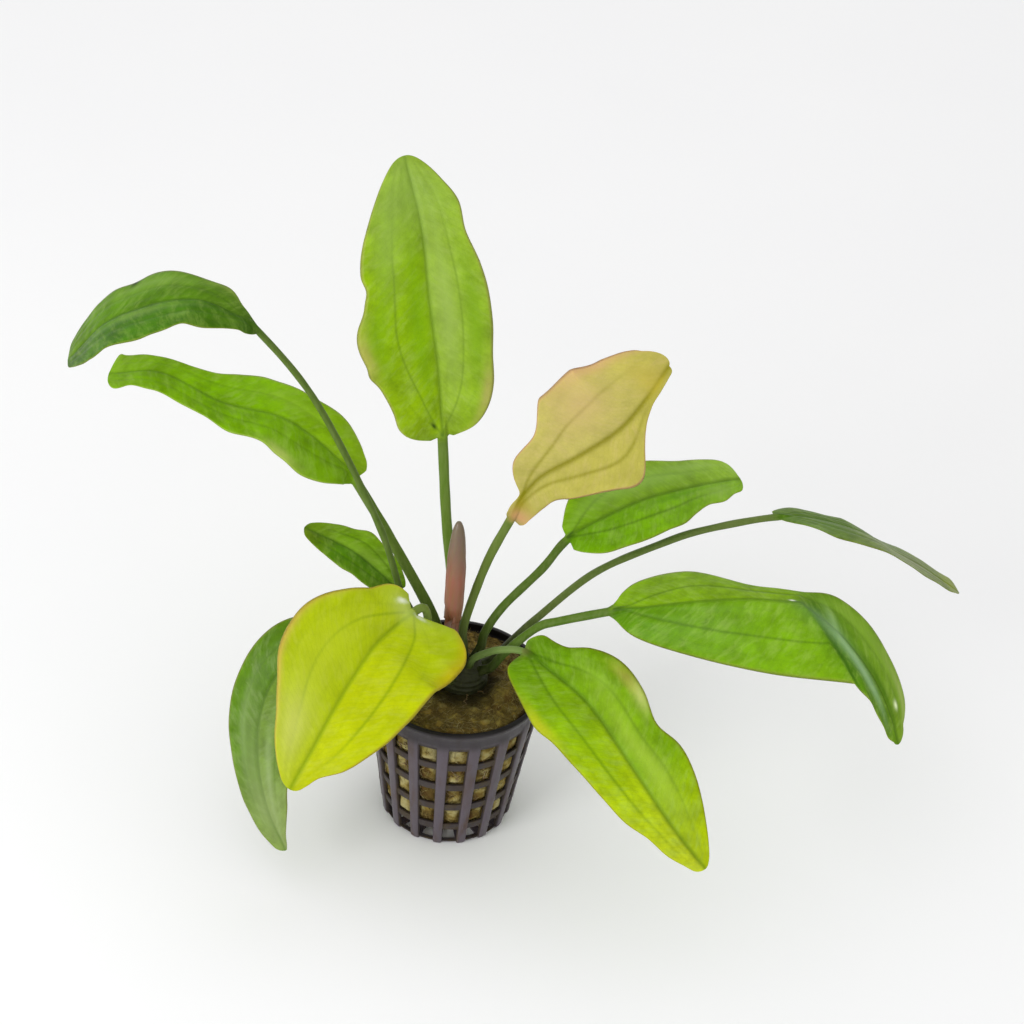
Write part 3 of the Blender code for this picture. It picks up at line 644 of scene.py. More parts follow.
# root: turn and lift out of the crown in degrees; stalk, midrib, leftEdge, rightEdge: points in mm;
# facing: where the upper face looks; left, right: half widths from base to tip; fold: how far each
# half lifts, in degrees; lobe: how far each side of the base reaches back; radius: the stalk's at
# its root and under the blade; bumps of an edge: place along, reach, height.
# In a look, left and right are the tones from base to tip, and a patch lists what spotted() takes.
leaves = {
    "leaf_upper_left": dict(
        root=(190, 30), facing=[(0, -0.3, 1)], fold=[(5, 0)], lobe=(0, 0), radius=(0.95, 0.8),
        stalk=[(-11, -1, 61), (-17, 2, 74), (-25, 6, 95), (-43, 9, 130), (-59, 10, 150)],
        midrib=[(-66, 10, 155), (-76, 13, 156), (-88, 16, 151), (-101, 19, 142), (-112, 22, 127)],
        left=[2, 4, 5.5, 9, 10.5, 12.5, 13.5, 12.5, 11.5, 10, 7.5, 5, 3],
        right=[0.5, 1.5, 4, 6.5, 7.5, 10, 12, 11, 10.5, 9.5, 8.5, 7, 5],
        look=dict(
            left=[(50, 84, 2), (62, 108, 0), (54, 86, 0)],
            # painted sheen: the lighter right half and the pale patch on it
            right=[(68, 98, 18), (78, 120, 2), (82, 114, 16)],
            stalk=(80, 102, 38), mottle=1.2, pale=(140, 168, 76), veinShare=0.75,
            patches=[
                (0.7, 0.5, 0.2, 0.22, (128, 162, 66), 0.5),
                (-0.2, 0.52, 0.12, 0.2, (124, 160, 56), 0.45),
                (-0.5, 0.12, 0.2, 0.06, (104, 140, 30), 0.2),
                (0.9, 0.19, 0.1, 0.08, (132, 150, 70), 0.5),
                (-0.6, 0.3, 0.1, 0.03, (140, 176, 74), 0.35),
                (0.95, 0.6, 0.1, 0.02, (34, 38, 20), 0.95)])),
    "leaf_left": dict(
        root=(160, 52), facing=[(0, -0.3, 1)], fold=[(0, 5)], lobe=(2, 2), radius=(1.6, 1.25),
        stalk=[(-8.5, 5, 66), (-19, 9, 83), (-32, 14, 102)],
        midrib=[(-37, 15, 108), (-52, 19, 117), (-71, 23, 118), (-88, 27, 123), (-103, 31, 118)],
        left=[1.5, 4, 9, 12, 11.5, 10, 9, 6.5, 6.5, 6.5, 5.5, 6, 3.5],
        right=[1.5, 6, 9, 10.5, 10, 10.5, 11, 8, 5.5, 5, 5.5, 6, 6.2],
        look=dict(
            left=[(106, 147, 2), (110, 157, 0), (112, 156, 8)],
            right=[(130, 166, 12), (116, 164, 0), (124, 167, 20)],
            stalk=(84, 108, 34), veinShare=0.5, edge=(170, 180, 96),
            patches=[
                (0.55, 0.3, 0.2, 0.16, (138, 178, 40), 0.5),
                (-0.9, 0.28, 0.12, 0.08, (184, 192, 110), 0.5)])),
    "leaf_tall": dict(
        root=(110, 55), facing=[(0.1, -1, 0.4)], fold=[(10, 10)], lobe=(1, 1), radius=(1.5, 1.3),
        leftBumps=[(0.25, 0.03, 0.8), (0.44, 0.035, 0.4), (0.55, 0.03, -0.9)],
        stalk=[(-2.5, 7, 70), (-6.5, 10, 95), (-9.5, 14, 120)],
        midrib=[(-12, 19, 137), (-16, 25, 155), (-20, 33, 173), (-26, 42, 188)],
        left=[7.5, 11.5, 13, 15.6, 18.7, 20.6, 17.5, 17.5, 16, 13, 9.5, 6, 3],
        right=[2, 8.5, 12.5, 14.5, 15, 16, 16, 14.5, 11.5, 11, 8, 5.2, 2.6],
        look=dict(
            left=[(122, 152, 2), (126, 162, 0), (130, 160, 50)],
            right=[(124, 155, 20), (128, 158, 40), (126, 154, 36)],
            stalk=(88, 114, 38), vein=(86, 116, 14), edge=(176, 162, 100), pale=(158, 180, 90),
            mottle=1.2,
            patches=[
                (-0.93, 0.34, 0.1, 0.09, (172, 156, 92), 0.6),
                (0.9, 0.16, 0.12, 0.09, (172, 152, 98), 0.6),
                (-0.2, 0.045, 0.05, 0.014, (26, 44, 10), 0.95, -2.5),
                # painted sheen right of the midrib
                (0.27, 0.48, 0.2, 0.3, (142, 166, 78), 0.65),
                (0.72, 0.4, 0.16, 0.24, (106, 148, 4), 0.6),
                (-0.2, 0.42, 0.14, 0.26, (112, 156, 0), 0.65),
                (-0.75, 0.4, 0.14, 0.12, (102, 144, 0), 0.5),
                (-0.6, 0.7, 0.2, 0.16, (134, 162, 74), 0.5),
                (0.0, 0.88, 1.3, 0.13, (134, 162, 72), 0.55)])),
    "leaf_yellow": dict(
        root=(130, 84), facing=[(0.1, -0.9, 0.5)], fold=[(5, 5)], lobe=(1, 1), radius=(1.2, 1.1),
        edgeWave=0.9, leftBumps=[(0.13, 0.035, -1.9), (0.225, 0.04, 1.3), (0.335, 0.045, -2.2),
        (0.41, 0.03, 0.7)], rightBumps=[(0.665, 0.035, -1.0)], tipBulge=(1.6, 0.0),
        stalk=[(1, 2, 66), (5.5, 4, 86), (11, 7, 100)],
        midrib=[(14.3, 7.5, 108.7), (18.9, 8.5, 114.9), (27.7, 10.5, 120.8), (37.6, 15, 127.4),
                (44.1, 20, 135.2), (48.9, 25, 142.4)],
        left=[1.2, 1.5, 1.8, 5.3, 10, 17.5, 20, 21.2, 20.8, 17.3, 14.9, 12, 8],
        right=[3.4, 4.5, 5.8, 7, 8.7, 10.4, 12.8, 14.7, 5.7, 2.6, 2, 1.8, 1.5],
        look=dict(
            left=[(162, 154, 78), (182, 173, 92), (180, 171, 84)],
            right=[(172, 164, 86), (176, 168, 78), (174, 166, 78)],
            stalk=(94, 114, 46), vein=(128, 124, 16), veinShare=1.5, veinSpread=1.7,
            edge=(200, 150, 112), edgeShare=0.9, sideVeins=((0.62, 0.34, 0.8), (0.86, 0.2, 0.1)),
            pale=(196, 176, 118), ladder=0.45, under=(168, 158, 92), mottle=0.5,
            patches=[
                (0.4, 0.03, 0.9, 0.045, (198, 146, 108), 0.75),
                (0.1, 0.09, 0.5, 0.03, (150, 138, 30), 0.5),
                (-0.6, 0.58, 0.35, 0.16, (196, 168, 116), 0.6),
                (0.1, 0.9, 0.7, 0.06, (190, 172, 60), 0.55),
                (-0.95, 0.75, 0.12, 0.24, (202, 154, 116), 0.6)])),
    "leaf_back_right": dict(
        root=(25, 66), facing=[(0, -0.3, 1)], fold=[(8, 8)], lobe=(2, 2), radius=(1.25, 1.05),
        stalk=[(7, 3, 63), (11.5, 6, 70.5), (21, 12, 80), (27, 17, 87)],
        midrib=[(36, 23, 91), (47, 31, 93), (61, 41, 92), (76, 52, 89)],
        left=[1, 4, 9, 12.5, 13.5, 13, 12, 10.5, 9.5, 9, 8, 6.5, 4.5],
        right=[2, 7, 11, 12.5, 13.5, 14, 13.5, 10.5, 8, 8, 6, 5, 2.5],
        look=dict(
            # painted sheen: the paler left half and the pale patches on it
            left=[(110, 156, 2), (124, 163, 26), (138, 174, 52)],
            right=[(98, 147, 0), (114, 164, 0), (122, 166, 18)],
            stalk=(76, 100, 32), veinSpread=1.5, pale=(160, 190, 90), mottle=1.1, ladder=1.6,
            patches=[
                (-0.45, 0.42, 0.24, 0.3, (144, 180, 84), 0.7),
                (-0.72, 0.75, 0.2, 0.2, (150, 182, 90), 0.5),
                (0.5, 0.82, 0.4, 0.1, (146, 178, 84), 0.5),
                (0.2, 0.6, 0.1, 0.18, (92, 146, 0), 0.6)])),
    "leaf_far_right": dict(
        root=(25, 32), facing=[(0.3, 0.3, 0.9)], fold=[(0, 0), (-4, 0), (2, 0), (-8, 0), (2, 0),
        (6, 0), (12, 0)], lobe=(2, 2), radius=(1.1, 0.95), edgeWave=0.4,
        stalk=[(16, 5, 61), (21, 8, 65.5), (36, 19, 75), (54, 27, 81.5), (66, 31, 85),
               (86, 37, 87.5)],
        midrib=[(99, 40, 86), (113, 42, 81), (127, 44, 72), (145, 46, 60)],
        left=[2, 5, 7, 6.5, 6, 6.5, 7, 8, 8.5, 8.5, 8, 7, 5.5],
        right=[1, 3.5, 8, 11, 11.5, 11.5, 11, 10, 9, 7.5, 6.5, 4, 1.5],
        look=dict(
            left=[(80, 110, 24), (84, 110, 30), (118, 128, 62)],
            right=[(78, 116, 8), (106, 122, 58), (110, 122, 42)],
            stalk=(94, 112, 52),
            patches=[
                (0.3, 0.25, 0.6, 0.14, (70, 108, 6), 0.6),
                (0.2, 0.66, 0.9, 0.16, (132, 138, 100), 0.55),
                (0.0, 0.95, 0.9, 0.05, (136, 148, 44), 0.6)])),
    "leaf_right": dict(
        root=(338, 42), corner=4, tipFrom=0.945, radius=(1.2, 1.1), edgeWave=0.35,
        stalk=[(13, -3, 61), (21, -3, 71), (27, -4, 75), (41, -6, 82)],
        midrib=[(51, -9, 87.5), (63, -12, 93), (76, -15, 98), (89, -17, 100), (99.5, -20, 94),
                (109, -25, 85.5), (115.5, -30, 76.5), (119, -34, 69)],
        leftEdge=[(41, -5, 83), (46, 2, 86), (60, 3, 91), (76, -7, 96.5), (88, -12, 100),
                  (99.5, -13, 99.5), (112, -17, 90), (120, -25, 77.5), (119, -34, 69)],
        rightEdge=[(41, -7, 81), (48, -14, 80), (64, -21, 81), (84, -27, 83), (105, -30, 85),
                   (109.5, -32, 81), (113, -33.5, 76), (116, -34, 71), (119, -34, 69)],
        look=dict(
            # painted shade: the third, darker tone of each half, on the part bent down past the crease
            left=[(118, 158, 4), (116, 152, 8), (78, 118, 12), (116, 150, 30)],
            right=[(78, 124, 0), (110, 154, 6), (74, 118, 10), (90, 124, 14)],
            turn=(0.47, 0.54), stalk=(78, 106, 30), veinSpread=1.3,
            patches=[
                (-0.12, 0.48, 0.04, 0.007, (232, 232, 228), 0.95),
                (-0.04, 0.492, 0.02, 0.01, (40, 44, 24), 0.9),
                # painted shade just past the crease
                (0.55, 0.545, 0.6, 0.028, (50, 92, 4), 0.8),
                # painted highlight: the pale stripe along the bent part
                (-0.12, 0.61, 0.22, 0.03, (140, 172, 110), 0.6, 9.0),
                (0.3, 0.68, 0.26, 0.13, (150, 184, 136), 0.75, 1.7),
                (-0.1, 0.8, 0.08, 0.16, (64, 104, 6), 0.7),
                (-0.7, 0.72, 0.22, 0.16, (128, 162, 52), 0.7),
                (-0.8, 0.87, 0.14, 0.08, (158, 174, 98), 0.6),
                # painted highlight: a bright speck
                (-0.38, 0.87, 0.08, 0.012, (226, 238, 190), 0.95)])),
    "leaf_front_right": dict(
        root=(300, 66), facing=[(0, -0.5, 0.8)], fold=[(8, 8)], lobe=(6, 6), radius=(0.95, 0.9),
        leftBumps=[(0.055, 0.022, 0.7), (0.13, 0.03, -0.6)],
        stalk=[(7, -5.2, 61.5), (11.5, -6.8, 65), (18, -9.5, 67.5)],
        midrib=[(25, -14, 66), (37, -26, 65), (49, -40, 58), (61, -52, 49), (71, -60, 42)],
        left=[3, 5.5, 8, 12, 14.5, 14, 12, 14, 13, 10.5, 7.5, 4.5, 2],
        right=[3.5, 7.5, 11, 14, 16, 15, 13.5, 12, 10.5, 7.5, 6, 4, 2.5],
        look=dict(
            left=[(88, 132, 0), (114, 156, 0), (167, 183, 0)],
            right=[(92, 138, 0), (132, 170, 0), (160, 186, 0), (182, 194, 34)],
            stalk=(104, 128, 66), mottle=1.1, turn=(0.36, 0.6), stalkRootShade=(52, 64, 24),
            vein=(58, 96, 0), veinSpread=1.4, edge=(160, 150, 40),
            patches=[
                (-0.86, 0.33, 0.14, 0.07, (170, 134, 74), 0.4, 0.0, True),
                (-0.9, 0.4, 0.12, 0.05, (206, 206, 130), 0.5),
                (0.92, 0.28, 0.1, 0.1, (196, 190, 40), 0.6),
                (-0.47, 0.28, 0.1, 0.07, (140, 180, 50), 0.5),
                # painted sheen
                (-0.32, 0.6, 0.24, 0.26, (160, 188, 60), 0.6),
                (0.45, 0.45, 0.2, 0.2, (126, 170, 0), 0.3),
                (0.0, -0.01, 0.6, 0.03, (110, 64, 36), 0.6)])),
    "leaf_front_left": dict(
        root=(240, 32), facing=[(0, -0.8, 0.6)], fold=[(8, 8)], lobe=(7, 2.5), radius=(1.15, 1.1),
        corner=0,
        stalk=[(-7.5, -8, 66), (-9.2, -5.5, 74), (-10.6, -6, 76.6), (-13, -9, 77)],
        midrib=[(-17, -14, 76), (-22, -21, 74), (-27, -30, 69), (-31, -38, 64), (-35, -45, 57),
                (-40, -52, 48)],
        left=[13.5, 19.5, 21.3, 21, 20.7, 20, 19, 17.2, 14.2, 10.5, 5.5, 3.5, 2],
        right=[6, 10, 12.5, 16.5, 21.3, 22.2, 21, 17, 13.5, 11, 8, 5, 2.5],
        look=dict(
            left=[(166, 187, 0), (178, 190, 0), (170, 178, 0)],
            right=[(160, 178, 2), (164, 181, 0), (168, 180, 20)],
            stalk=(112, 132, 56), vein=(126, 150, 0), veinShare=1.3, veinSpread=1.4,
            edge=(194, 154, 58), edgeShare=0.6, under=(140, 160, 50), mottle=0.5,
            pale=(186, 194, 70),
            patches=[
                (-0.94, 0.1, 0.1, 0.12, (192, 148, 16), 0.45),
                (0.97, 0.5, 0.06, 0.3, (194, 156, 84), 0.5),
                (0.45, 0.4, 0.3, 0.2, (178, 192, 40), 0.5),
                (0.6, 0.75, 0.32, 0.16, (184, 190, 92), 0.75),
                # painted highlights at the joint: the pale and white spots
                (0.3, 0.03, 0.5, 0.05, (186, 200, 110), 0.55),
                (0.52, 0.03, 0.1, 0.02, (232, 238, 216), 0.85, 0.0, True),
                (-0.2, 0.008, 0.16, 0.008, (230, 236, 210), 0.8, 0.0, True)])),
    "leaf_low_left": dict(
        root=(212, 5), facing=[(-0.3, -0.6, 0.8), (-0.5, -0.8, 0.4)], fold=[(5, 5)], lobe=(3, 3),
        radius=(1.2, 1.1),
        stalk=[(-15, -8, 57), (-24, -8, 65)],
        midrib=[(-38, -12, 65), (-47, -16, 59), (-52, -21, 47), (-52, -27, 34), (-48, -34, 22),
                (-42, -40, 13)],
        left=[2, 5, 8.5, 9.5, 11, 12.5, 13, 12.5, 10.5, 8, 5.5, 2.5, 1],
        right=[2, 4.5, 6.5, 9, 10.5, 10.5, 10, 9, 7.5, 6.5, 5.5, 4, 2.5],
        look=dict(
            # painted sheen: the paler tones towards the tip and the pale patches
            left=[(86, 122, 14), (98, 128, 36), (122, 138, 78)],
            right=[(82, 118, 10), (78, 116, 10), (118, 138, 68)],
            stalk=(84, 106, 44), mottle=1.2, pale=(146, 166, 106),
            patches=[
                (0.2, 0.66, 0.4, 0.2, (130, 150, 90), 0.5),
                (-0.34, 0.72, 0.12, 0.22, (150, 168, 118), 0.45),
                (0.5, 0.56, 0.12, 0.16, (134, 158, 96), 0.45),
                (0.0, 0.85, 0.8, 0.1, (134, 150, 96), 0.5)])),
    "leaf_small_left": dict(
        root=(155, 15), facing=[(0, -0.4, 1)], fold=[(8, 8)], lobe=(1, 1), radius=(0.85, 0.75),
        edgeWave=0.4,
        stalk=[(-13, 7, 62), (-18, 9, 69)],
        midrib=[(-26, 14, 73), (-34, 18, 76), (-47, 24, 77)],
        left=[1, 3, 5, 6, 6.5, 6.5, 7, 6.5, 5.5, 4.5, 3.5, 2.5, 1],
        right=[1, 3, 4.5, 6, 6.5, 7, 7.5, 6, 5.5, 4.5, 3.5, 2.5, 1.5],
        look=dict(
            left=[(72, 106, 2), (78, 122, 0), (92, 114, 8)],
            right=[(97, 134, 20), (110, 150, 18), (92, 118, 16)],
            stalk=(76, 98, 32), mottle=1.2,
            patches=[
                (0.2, 0.45, 0.15, 0.2, (132, 164, 56), 0.5)])),
}

for order, (leafName, leaf) in enumerate(leaves.items()):
    skin = leafSkin(leafName + "_blade", leaf, 100 + 10 * order)
    slot = "leaf_khaki" if leafName == "leaf_yellow" else "leaf_green"
    dress(skin, leafFinish(leafName, leaf["look"]), slot, leafName)
print("leaves made:", len(leaves))


# rolled young leaf

youngLeaf = dict(root=(225, 62), stalk=[(-2, -3, 62), (-2.4, -2, 69)],
                 spear=[(-2.6, -1, 83), (-2.8, 0, 93), (-2.8, 1, 102)],
                 widths=[2.7, 2.9, 3, 3, 3, 2.8, 2.4, 1.8, 1], stalkRadius=1.6, stalkSwell=0.9,
                 spearFrom=0.36, rolling=(0.2, 0.5), turns=1.35, windIn=0.3, sheet=0.35, seam=5.2,
                 ripple=0.03, rippleLength=5.0, rows=150, columns=72)
youngTones = dict(streak=(110, 108, 50), seam=(70, 36, 26))


def youngLeafSkin():
    # a sheet wound round the spear: the radius shrinks from the free edge inwards over the turns;
    # out along the outer face and back along the inner one, a sheet's thickness further in
    y = youngLeaf
    line = curveThrough([*stalkStart(y["root"]), *y["stalk"], *y["spear"]])
    f = np.linspace(0, 1, y["rows"])
    centre = alongLine(line, f)
    way = unit(np.gradient(centre, axis=0))
    side = carriedNormals(way, unit(np.cross(way[0], [0, -1, 0.2])))
    front = np.cross(side, way)
    u = (f - y["spearFrom"]) / (1 - y["spearFrom"])
    share = np.clip(u, 0, 1)
    outline = halfWidths(y["widths"], 0.06 + 0.94 * share)
    stalk = y["stalkRadius"] + y["stalkSwell"] * smoothStep(f, 0.1, y["spearFrom"])
    radius = np.where(share > 0, outline, stalk)
    rolled = smoothStep(f, *y["rolling"])[:, None, None]
    half = y["columns"] // 2
    wound = np.linspace(0, 1, half)
    wound = np.concatenate([wound, wound[::-1]])  # out to the inner edge and back
    sheet = np.repeat([0, y["sheet"]], half) * np.sin(wound * math.pi) ** 0.5
    scroll = radius[:, None] * (1 - y["windIn"] * wound) - sheet
    angle = y["seam"] + wound * math.tau * y["turns"]
    ringAngle = y["seam"] + np.linspace(0, math.tau, 2 * half, endpoint=False)
    spiral = scroll[..., None] * around(angle, side[:, None], front[:, None])
    circle = radius[:, None, None] * around(ringAngle, side[:, None], front[:, None])
    ring = circle * (1 - rolled) + spiral * rolled
    ripple = 1 + y["ripple"] * waviness(centre[:, None] + ring * 1.5, y["rippleLength"], 71)
    rings = centre[:, None] + ring * ripple[..., None]
    points, faces = closedTube(rings[:-1], centre[0] - way[0] * 0.3, centre[-1])
    along = np.repeat(u[:-1], 2 * half)
    place = np.stack([along, np.tile(wound, y["rows"] - 1), np.ones_like(along)], -1)
    place = np.vstack([place, [[-0.5, 0, 1], [1, 0, 1]]])
    return meshObject("young_leaf_spear", points, faces, places=dict(leafPlace=place))


def youngFinish():
    # brownish rose with long streaks, greyer at the tip and dark at the base
    f = Finish("youngRose", Coat_Weight=0.1, Subsurface_Weight=0.1, Subsurface_Scale=0.001)
    tones = tonesOf(youngTones)
    u, wind, _ = f.attribute("leafPlace")
    colour = f.ramp(f.ease(u, -0.55, 1.0), (0.0, (52, 34, 16)), (0.3, (124, 70, 46)),
                    (0.7, (142, 82, 68)), (1.0, (102, 84, 70)))
    streaks = f.streaks(f.objectPlace(), 0.1, 1100.0, 4.0)
    colour = f.mix((streaks - 0.3) * 0.7, colour, tones["streak"])
    colour = f.mix(f.bell(wind, 0.0, 0.03) * 0.6, colour, tones["seam"])
    f.feed("Base Color", colour)
    f.feed("Roughness", 0.36 + streaks * 0.16)
    f.bump(streaks, 0.12, 0.7)
    return f


dress(youngLeafSkin(), youngFinish(), "leaf_rose", "young_leaf")
print("young leaf made")


# net pot

pot = dict(height=48.0, topRadius=25.0, baseRadius=18.6, wall=1.0, rimBand=6.75, openingHeight=6.3,
           hoop=2.4, footHoop=1.4, fullRows=4, columns=17, openingAngle=-82.5, recess=0.3,
           bandRecess=0.12, hoopBulge=0.08, ribProud=0.3, footProud=0.5, slotOuter=16.8,
           slotMiddle=11.0, slotInner=6.0, hub=(5.4, 2.5), floorRaise=0.45, floorTop=1.0,
           cornerRounding=0.16, roundedFrom=38)
# height of each ring of the rim, and how far it stands out of the tapering wall
rimProfile = ((48.0, -0.1), (47.85, 0.3), (47.4, 0.45), (46.6, 0.42), (46.2, 0.1), (45.0, 0.0),
              (43.2, 0.0))
# places across one column, as shares of its pitch, and how far the rib stands up there
columnShares = np.array([-0.30, -0.15, 0.0, 0.15, 0.30, 0.335, 0.40, 0.50, 0.60, 0.665])
ribHeights = np.array([0.0, 0.0, 0.0, 0.0, 0.0, 0.8, 1.0, 1.0, 1.0, 0.8])
openCells = 4                                   # cells of a column that its opening takes
potTones = dict(dark=(76, 70, 74), pale=(94, 85, 94), grime=(80, 62, 50), speck=(150, 146, 150),
                hoopDark=(40, 33, 24), hoopPale=(64, 54, 40), band=(44, 41, 43), rimShadow=(12, 8, 8))


def potRadius(z):
    # the wall's outer radius, which grows evenly from base to top
    return pot["baseRadius"] + (pot["topRadius"] - pot["baseRadius"]) * z / pot["height"]


def openingRows():
    # bottom and top of each row of openings, counted down from the rim band
    top = pot["height"] - pot["rimBand"]
    rows = []
    for _ in range(pot["fullRows"]):
        rows.append((top - pot["openingHeight"], top))
        top -= pot["openingHeight"] + pot["hoop"]
    return [*rows, (pot["footHoop"], top)]


def potSkin():
    # a profile swept round in columns: outer and inner face of every solid cell, and a wall
    # wherever a solid cell meets an open one
    pitch = math.tau / pot["columns"]
    angles = (np.arange(pot["columns"])[:, None] + columnShares[None]).ravel() * pitch
    angles = angles + math.radians(pot["openingAngle"])
    rib = np.tile(ribHeights, pot["columns"])
    # one row: outer radius and z, inner radius and z, share of the ribs' height, open below it
    rows = [(potRadius(z) + out, z, potRadius(z) - pot["wall"], z, 0.0, False) for z, out in rimProfile]

    def addRow(z, sunk, isOpen):
        rows.append((potRadius(z) - sunk, z, potRadius(z) - pot["wall"], z, 1.0, isOpen))

    for number, (low, high) in enumerate(openingRows()):
        addRow(high, pot["recess"] if number else pot["bandRecess"], True)
        addRow(low, pot["recess"], False)
        if number < pot["fullRows"]:
            addRow(low - pot["hoop"] / 2, pot["recess"] - pot["hoopBulge"], False)
    # the foot, rounded under, then the floor's slots and hub
    foot, raised, top = pot["baseRadius"], pot["floorRaise"], pot["floorTop"]
    rows.append((foot - 0.3, 0.85, foot - pot["wall"], top + 0.2, 1.0, False))
    rows.append((foot - 0.8, raised, foot - 1.3, top, 1.0, False))
    slots = ((pot["slotOuter"], True), (pot["slotMiddle"], True), (pot["slotInner"], False))
    rows += [(r, raised, r, top, 1.0, isOpen) for r, isOpen in slots]
    rows += [(r, 0.0, r, top, 0.0, False) for r in pot["hub"]]
    table = np.array([row[:5] for row in rows])
    isOpenRow = np.array([row[5] for row in rows])[:-1]
    outerR, outerZ, innerR, innerZ, share = (table[:, k, None] for k in range(5))
    onWall = (outerZ > 0.7).astype(float)
    proud = rib[None] * share
    outR = outerR + proud * (pot["ribProud"] + pot["recess"]) * onWall
    outZ = outerZ - proud * pot["floorRaise"] * (1 - onWall) * (outerZ > 0.1)
    outR = np.where((outerR > foot - 1) & (onWall < 0.5), outR + proud * pot["footProud"], outR)
    outer, inner = onCircle(outR, angles, outZ), onCircle(innerR, angles, innerZ)
    rowCount, columns = outer.shape[:2]
    cell = np.arange(columns) % len(columnShares) < openCells
    solid = ~(isOpenRow[:, None] & cell[None])
    number = np.arange(rowCount * columns).reshape(rowCount, columns)
    beside = np.roll(number, -1, 1)
    back = rowCount * columns
    faces = []

    def addFaces(where, *corners):
        faces.extend(np.stack(corners, -1)[where].tolist())

    # the two faces of the wall, then the sides of openings, their tops and bottoms, the rim
    # and a fan to the floor's middle outside and inside
    a, b, c, d = number[:-1], number[1:], beside[1:], beside[:-1]
    addFaces(solid, a, b, c, d)
    addFaces(solid, d + back, c + back, b + back, a + back)
    before = np.roll(solid, 1, 1)
    addFaces(~solid & before, a, b, b + back, a + back)
    addFaces(solid & ~before, a, a + back, b + back, b)
    above, below = solid[:-1], solid[1:]
    a, d = number[1:-1], beside[1:-1]
    addFaces(above & ~below, a, a + back, d + back, d)
    addFaces(~above & below, a, d, d + back, a + back)
    a, d = number[0], beside[0]
    addFaces(..., a, d, d + back, a + back)
    a, d = number[-1], beside[-1]
    addFaces(..., a, np.full(columns, 2 * back), d)
    addFaces(..., d + back, np.full(columns, 2 * back + 1), a + back)
    middles = [[0, 0, 0], [0, 0, top]]
    points = np.vstack([outer.reshape(-1, 3), inner.reshape(-1, 3), middles])
    # ribPlace: what stands proud there (1 on ribs and the rim band, 0 on hoops), inside
    isBand = (outerZ > pot["height"] - pot["rimBand"] + 0.1) | (outerZ < 0.5 * pot["footHoop"])
    ribShare = np.broadcast_to(np.maximum(np.minimum(rib[None], 1), isBand), outR.shape)
    ribPlace = np.zeros((len(points), 3))
    ribPlace[:2 * back, 0] = np.tile(ribShare.ravel(), 2)
    ribPlace[back:, 1] = 1
    return meshObject("net_pot_moulded", points, faces, places=dict(ribPlace=ribPlace))


def potFinish():
    # grey-violet moulded plastic, dusted brown where the wool's dirt has run down; painted shade
    # darkens the recessed hoops and a painted shadow darkens the rim's top and inner edge
    f = Finish("potPlastic", Specular_IOR_Level=0.22)
    tones = tonesOf(potTones)
    place = f.objectPlace()
    broad = f.noise(place, 55.0, 3.0)
    fine = f.noise(place, 1600.0, 3.0)
    blotch = f.noise(place, 300.0, 3.0)
    runs = f.streaks(place, 0.25, 260.0, 4.0)
    colour = f.mix(broad, tones["dark"], tones["pale"])
    height = f.parts(place)[2] / mm
    grime = f.ease(runs, 0.46, 0.7) * (0.45 + f.ease(height, 30.0, 0.0) * 0.4)
    colour = f.mix(grime, colour, tones["grime"])
    colour = f.mix(f.ease(fine, 0.62, 0.75) * 0.12, colour, tones["speck"])
    proud, inside, _ = f.attribute("ribPlace")
    # painted shade with brown dirt: the recessed hoops darker and browner than the ribs
    hoopShadeAndDirt = f.ease(proud, 0.75, 0.2) * (0.7 + f.ease(blotch, 0.45, 0.6) * 0.25)
    hoop = f.mix(f.ease(blotch, 0.4, 0.6), tones["hoopDark"], tones["hoopPale"])
    colour = f.mix(hoopShadeAndDirt, colour, hoop)
    colour = f.mix(f.ease(height, 40.5, 43.5) * 0.75, colour, tones["band"])
    # painted shadow: near black where the wall's top turns inwards and along the rim's top, for the gap
    # between rim and wool
    rimShadow = f.ease(inside, 0.02, 0.2) * f.ease(height, 45.5, 46.5)
    rimShadow = f.maths("MAXIMUM", rimShadow, f.ease(height, 47.0, 47.8) * 0.75)
    colour = f.mix(rimShadow * 0.95, colour, tones["rimShadow"])
    f.feed("Base Color", colour)
    f.feed("Roughness", 0.36 + grime * 0.35 + (broad - 0.5) * 0.15 + hoopShadeAndDirt * 0.2)
    f.bump(fine * 0.6 + runs * 0.4, 0.06, 0.6)
    return f


potPiece = potSkin()
rounding = potPiece.modifiers.new("rounding", "BEVEL")
rounding.width = pot["cornerRounding"] * mm
rounding.segments = 2
rounding.limit_method = "ANGLE"
rounding.angle_limit = math.radians(pot["roundedFrom"])
dress(potPiece, potFinish(), "pot_plastic", "net_pot")
print("net pot made")


# rock wool

wool = dict(bottom=7.0, topMiddle=47.0, topEdge=46.3, gap=0.35, lumpAt=(13.0, -4.5), lumpHeight=4.6,
            lumpRadius=4.2, lumpSlope=2.5, columns=260, topRows=70, sideRows=110,
            topFibres=5200, sideFibres=3600, fibreRadius=0.055, fibreSides=3, fibreSteps=6)
woolTones = dict(brown=(128, 104, 48), olive=(148, 132, 64), dark=(58, 44, 20), pale=(158, 150, 98),
                 sidePale=(166, 158, 116), edge=(22, 16, 10), russet=(74, 42, 20), pit=(38, 30, 12),
                 shadow=(22, 22, 8))
crownShadow = dict(at=(2.0, -1.0), full=7.5, gone=13.5, low=40.0, high=45.0, share=0.85)


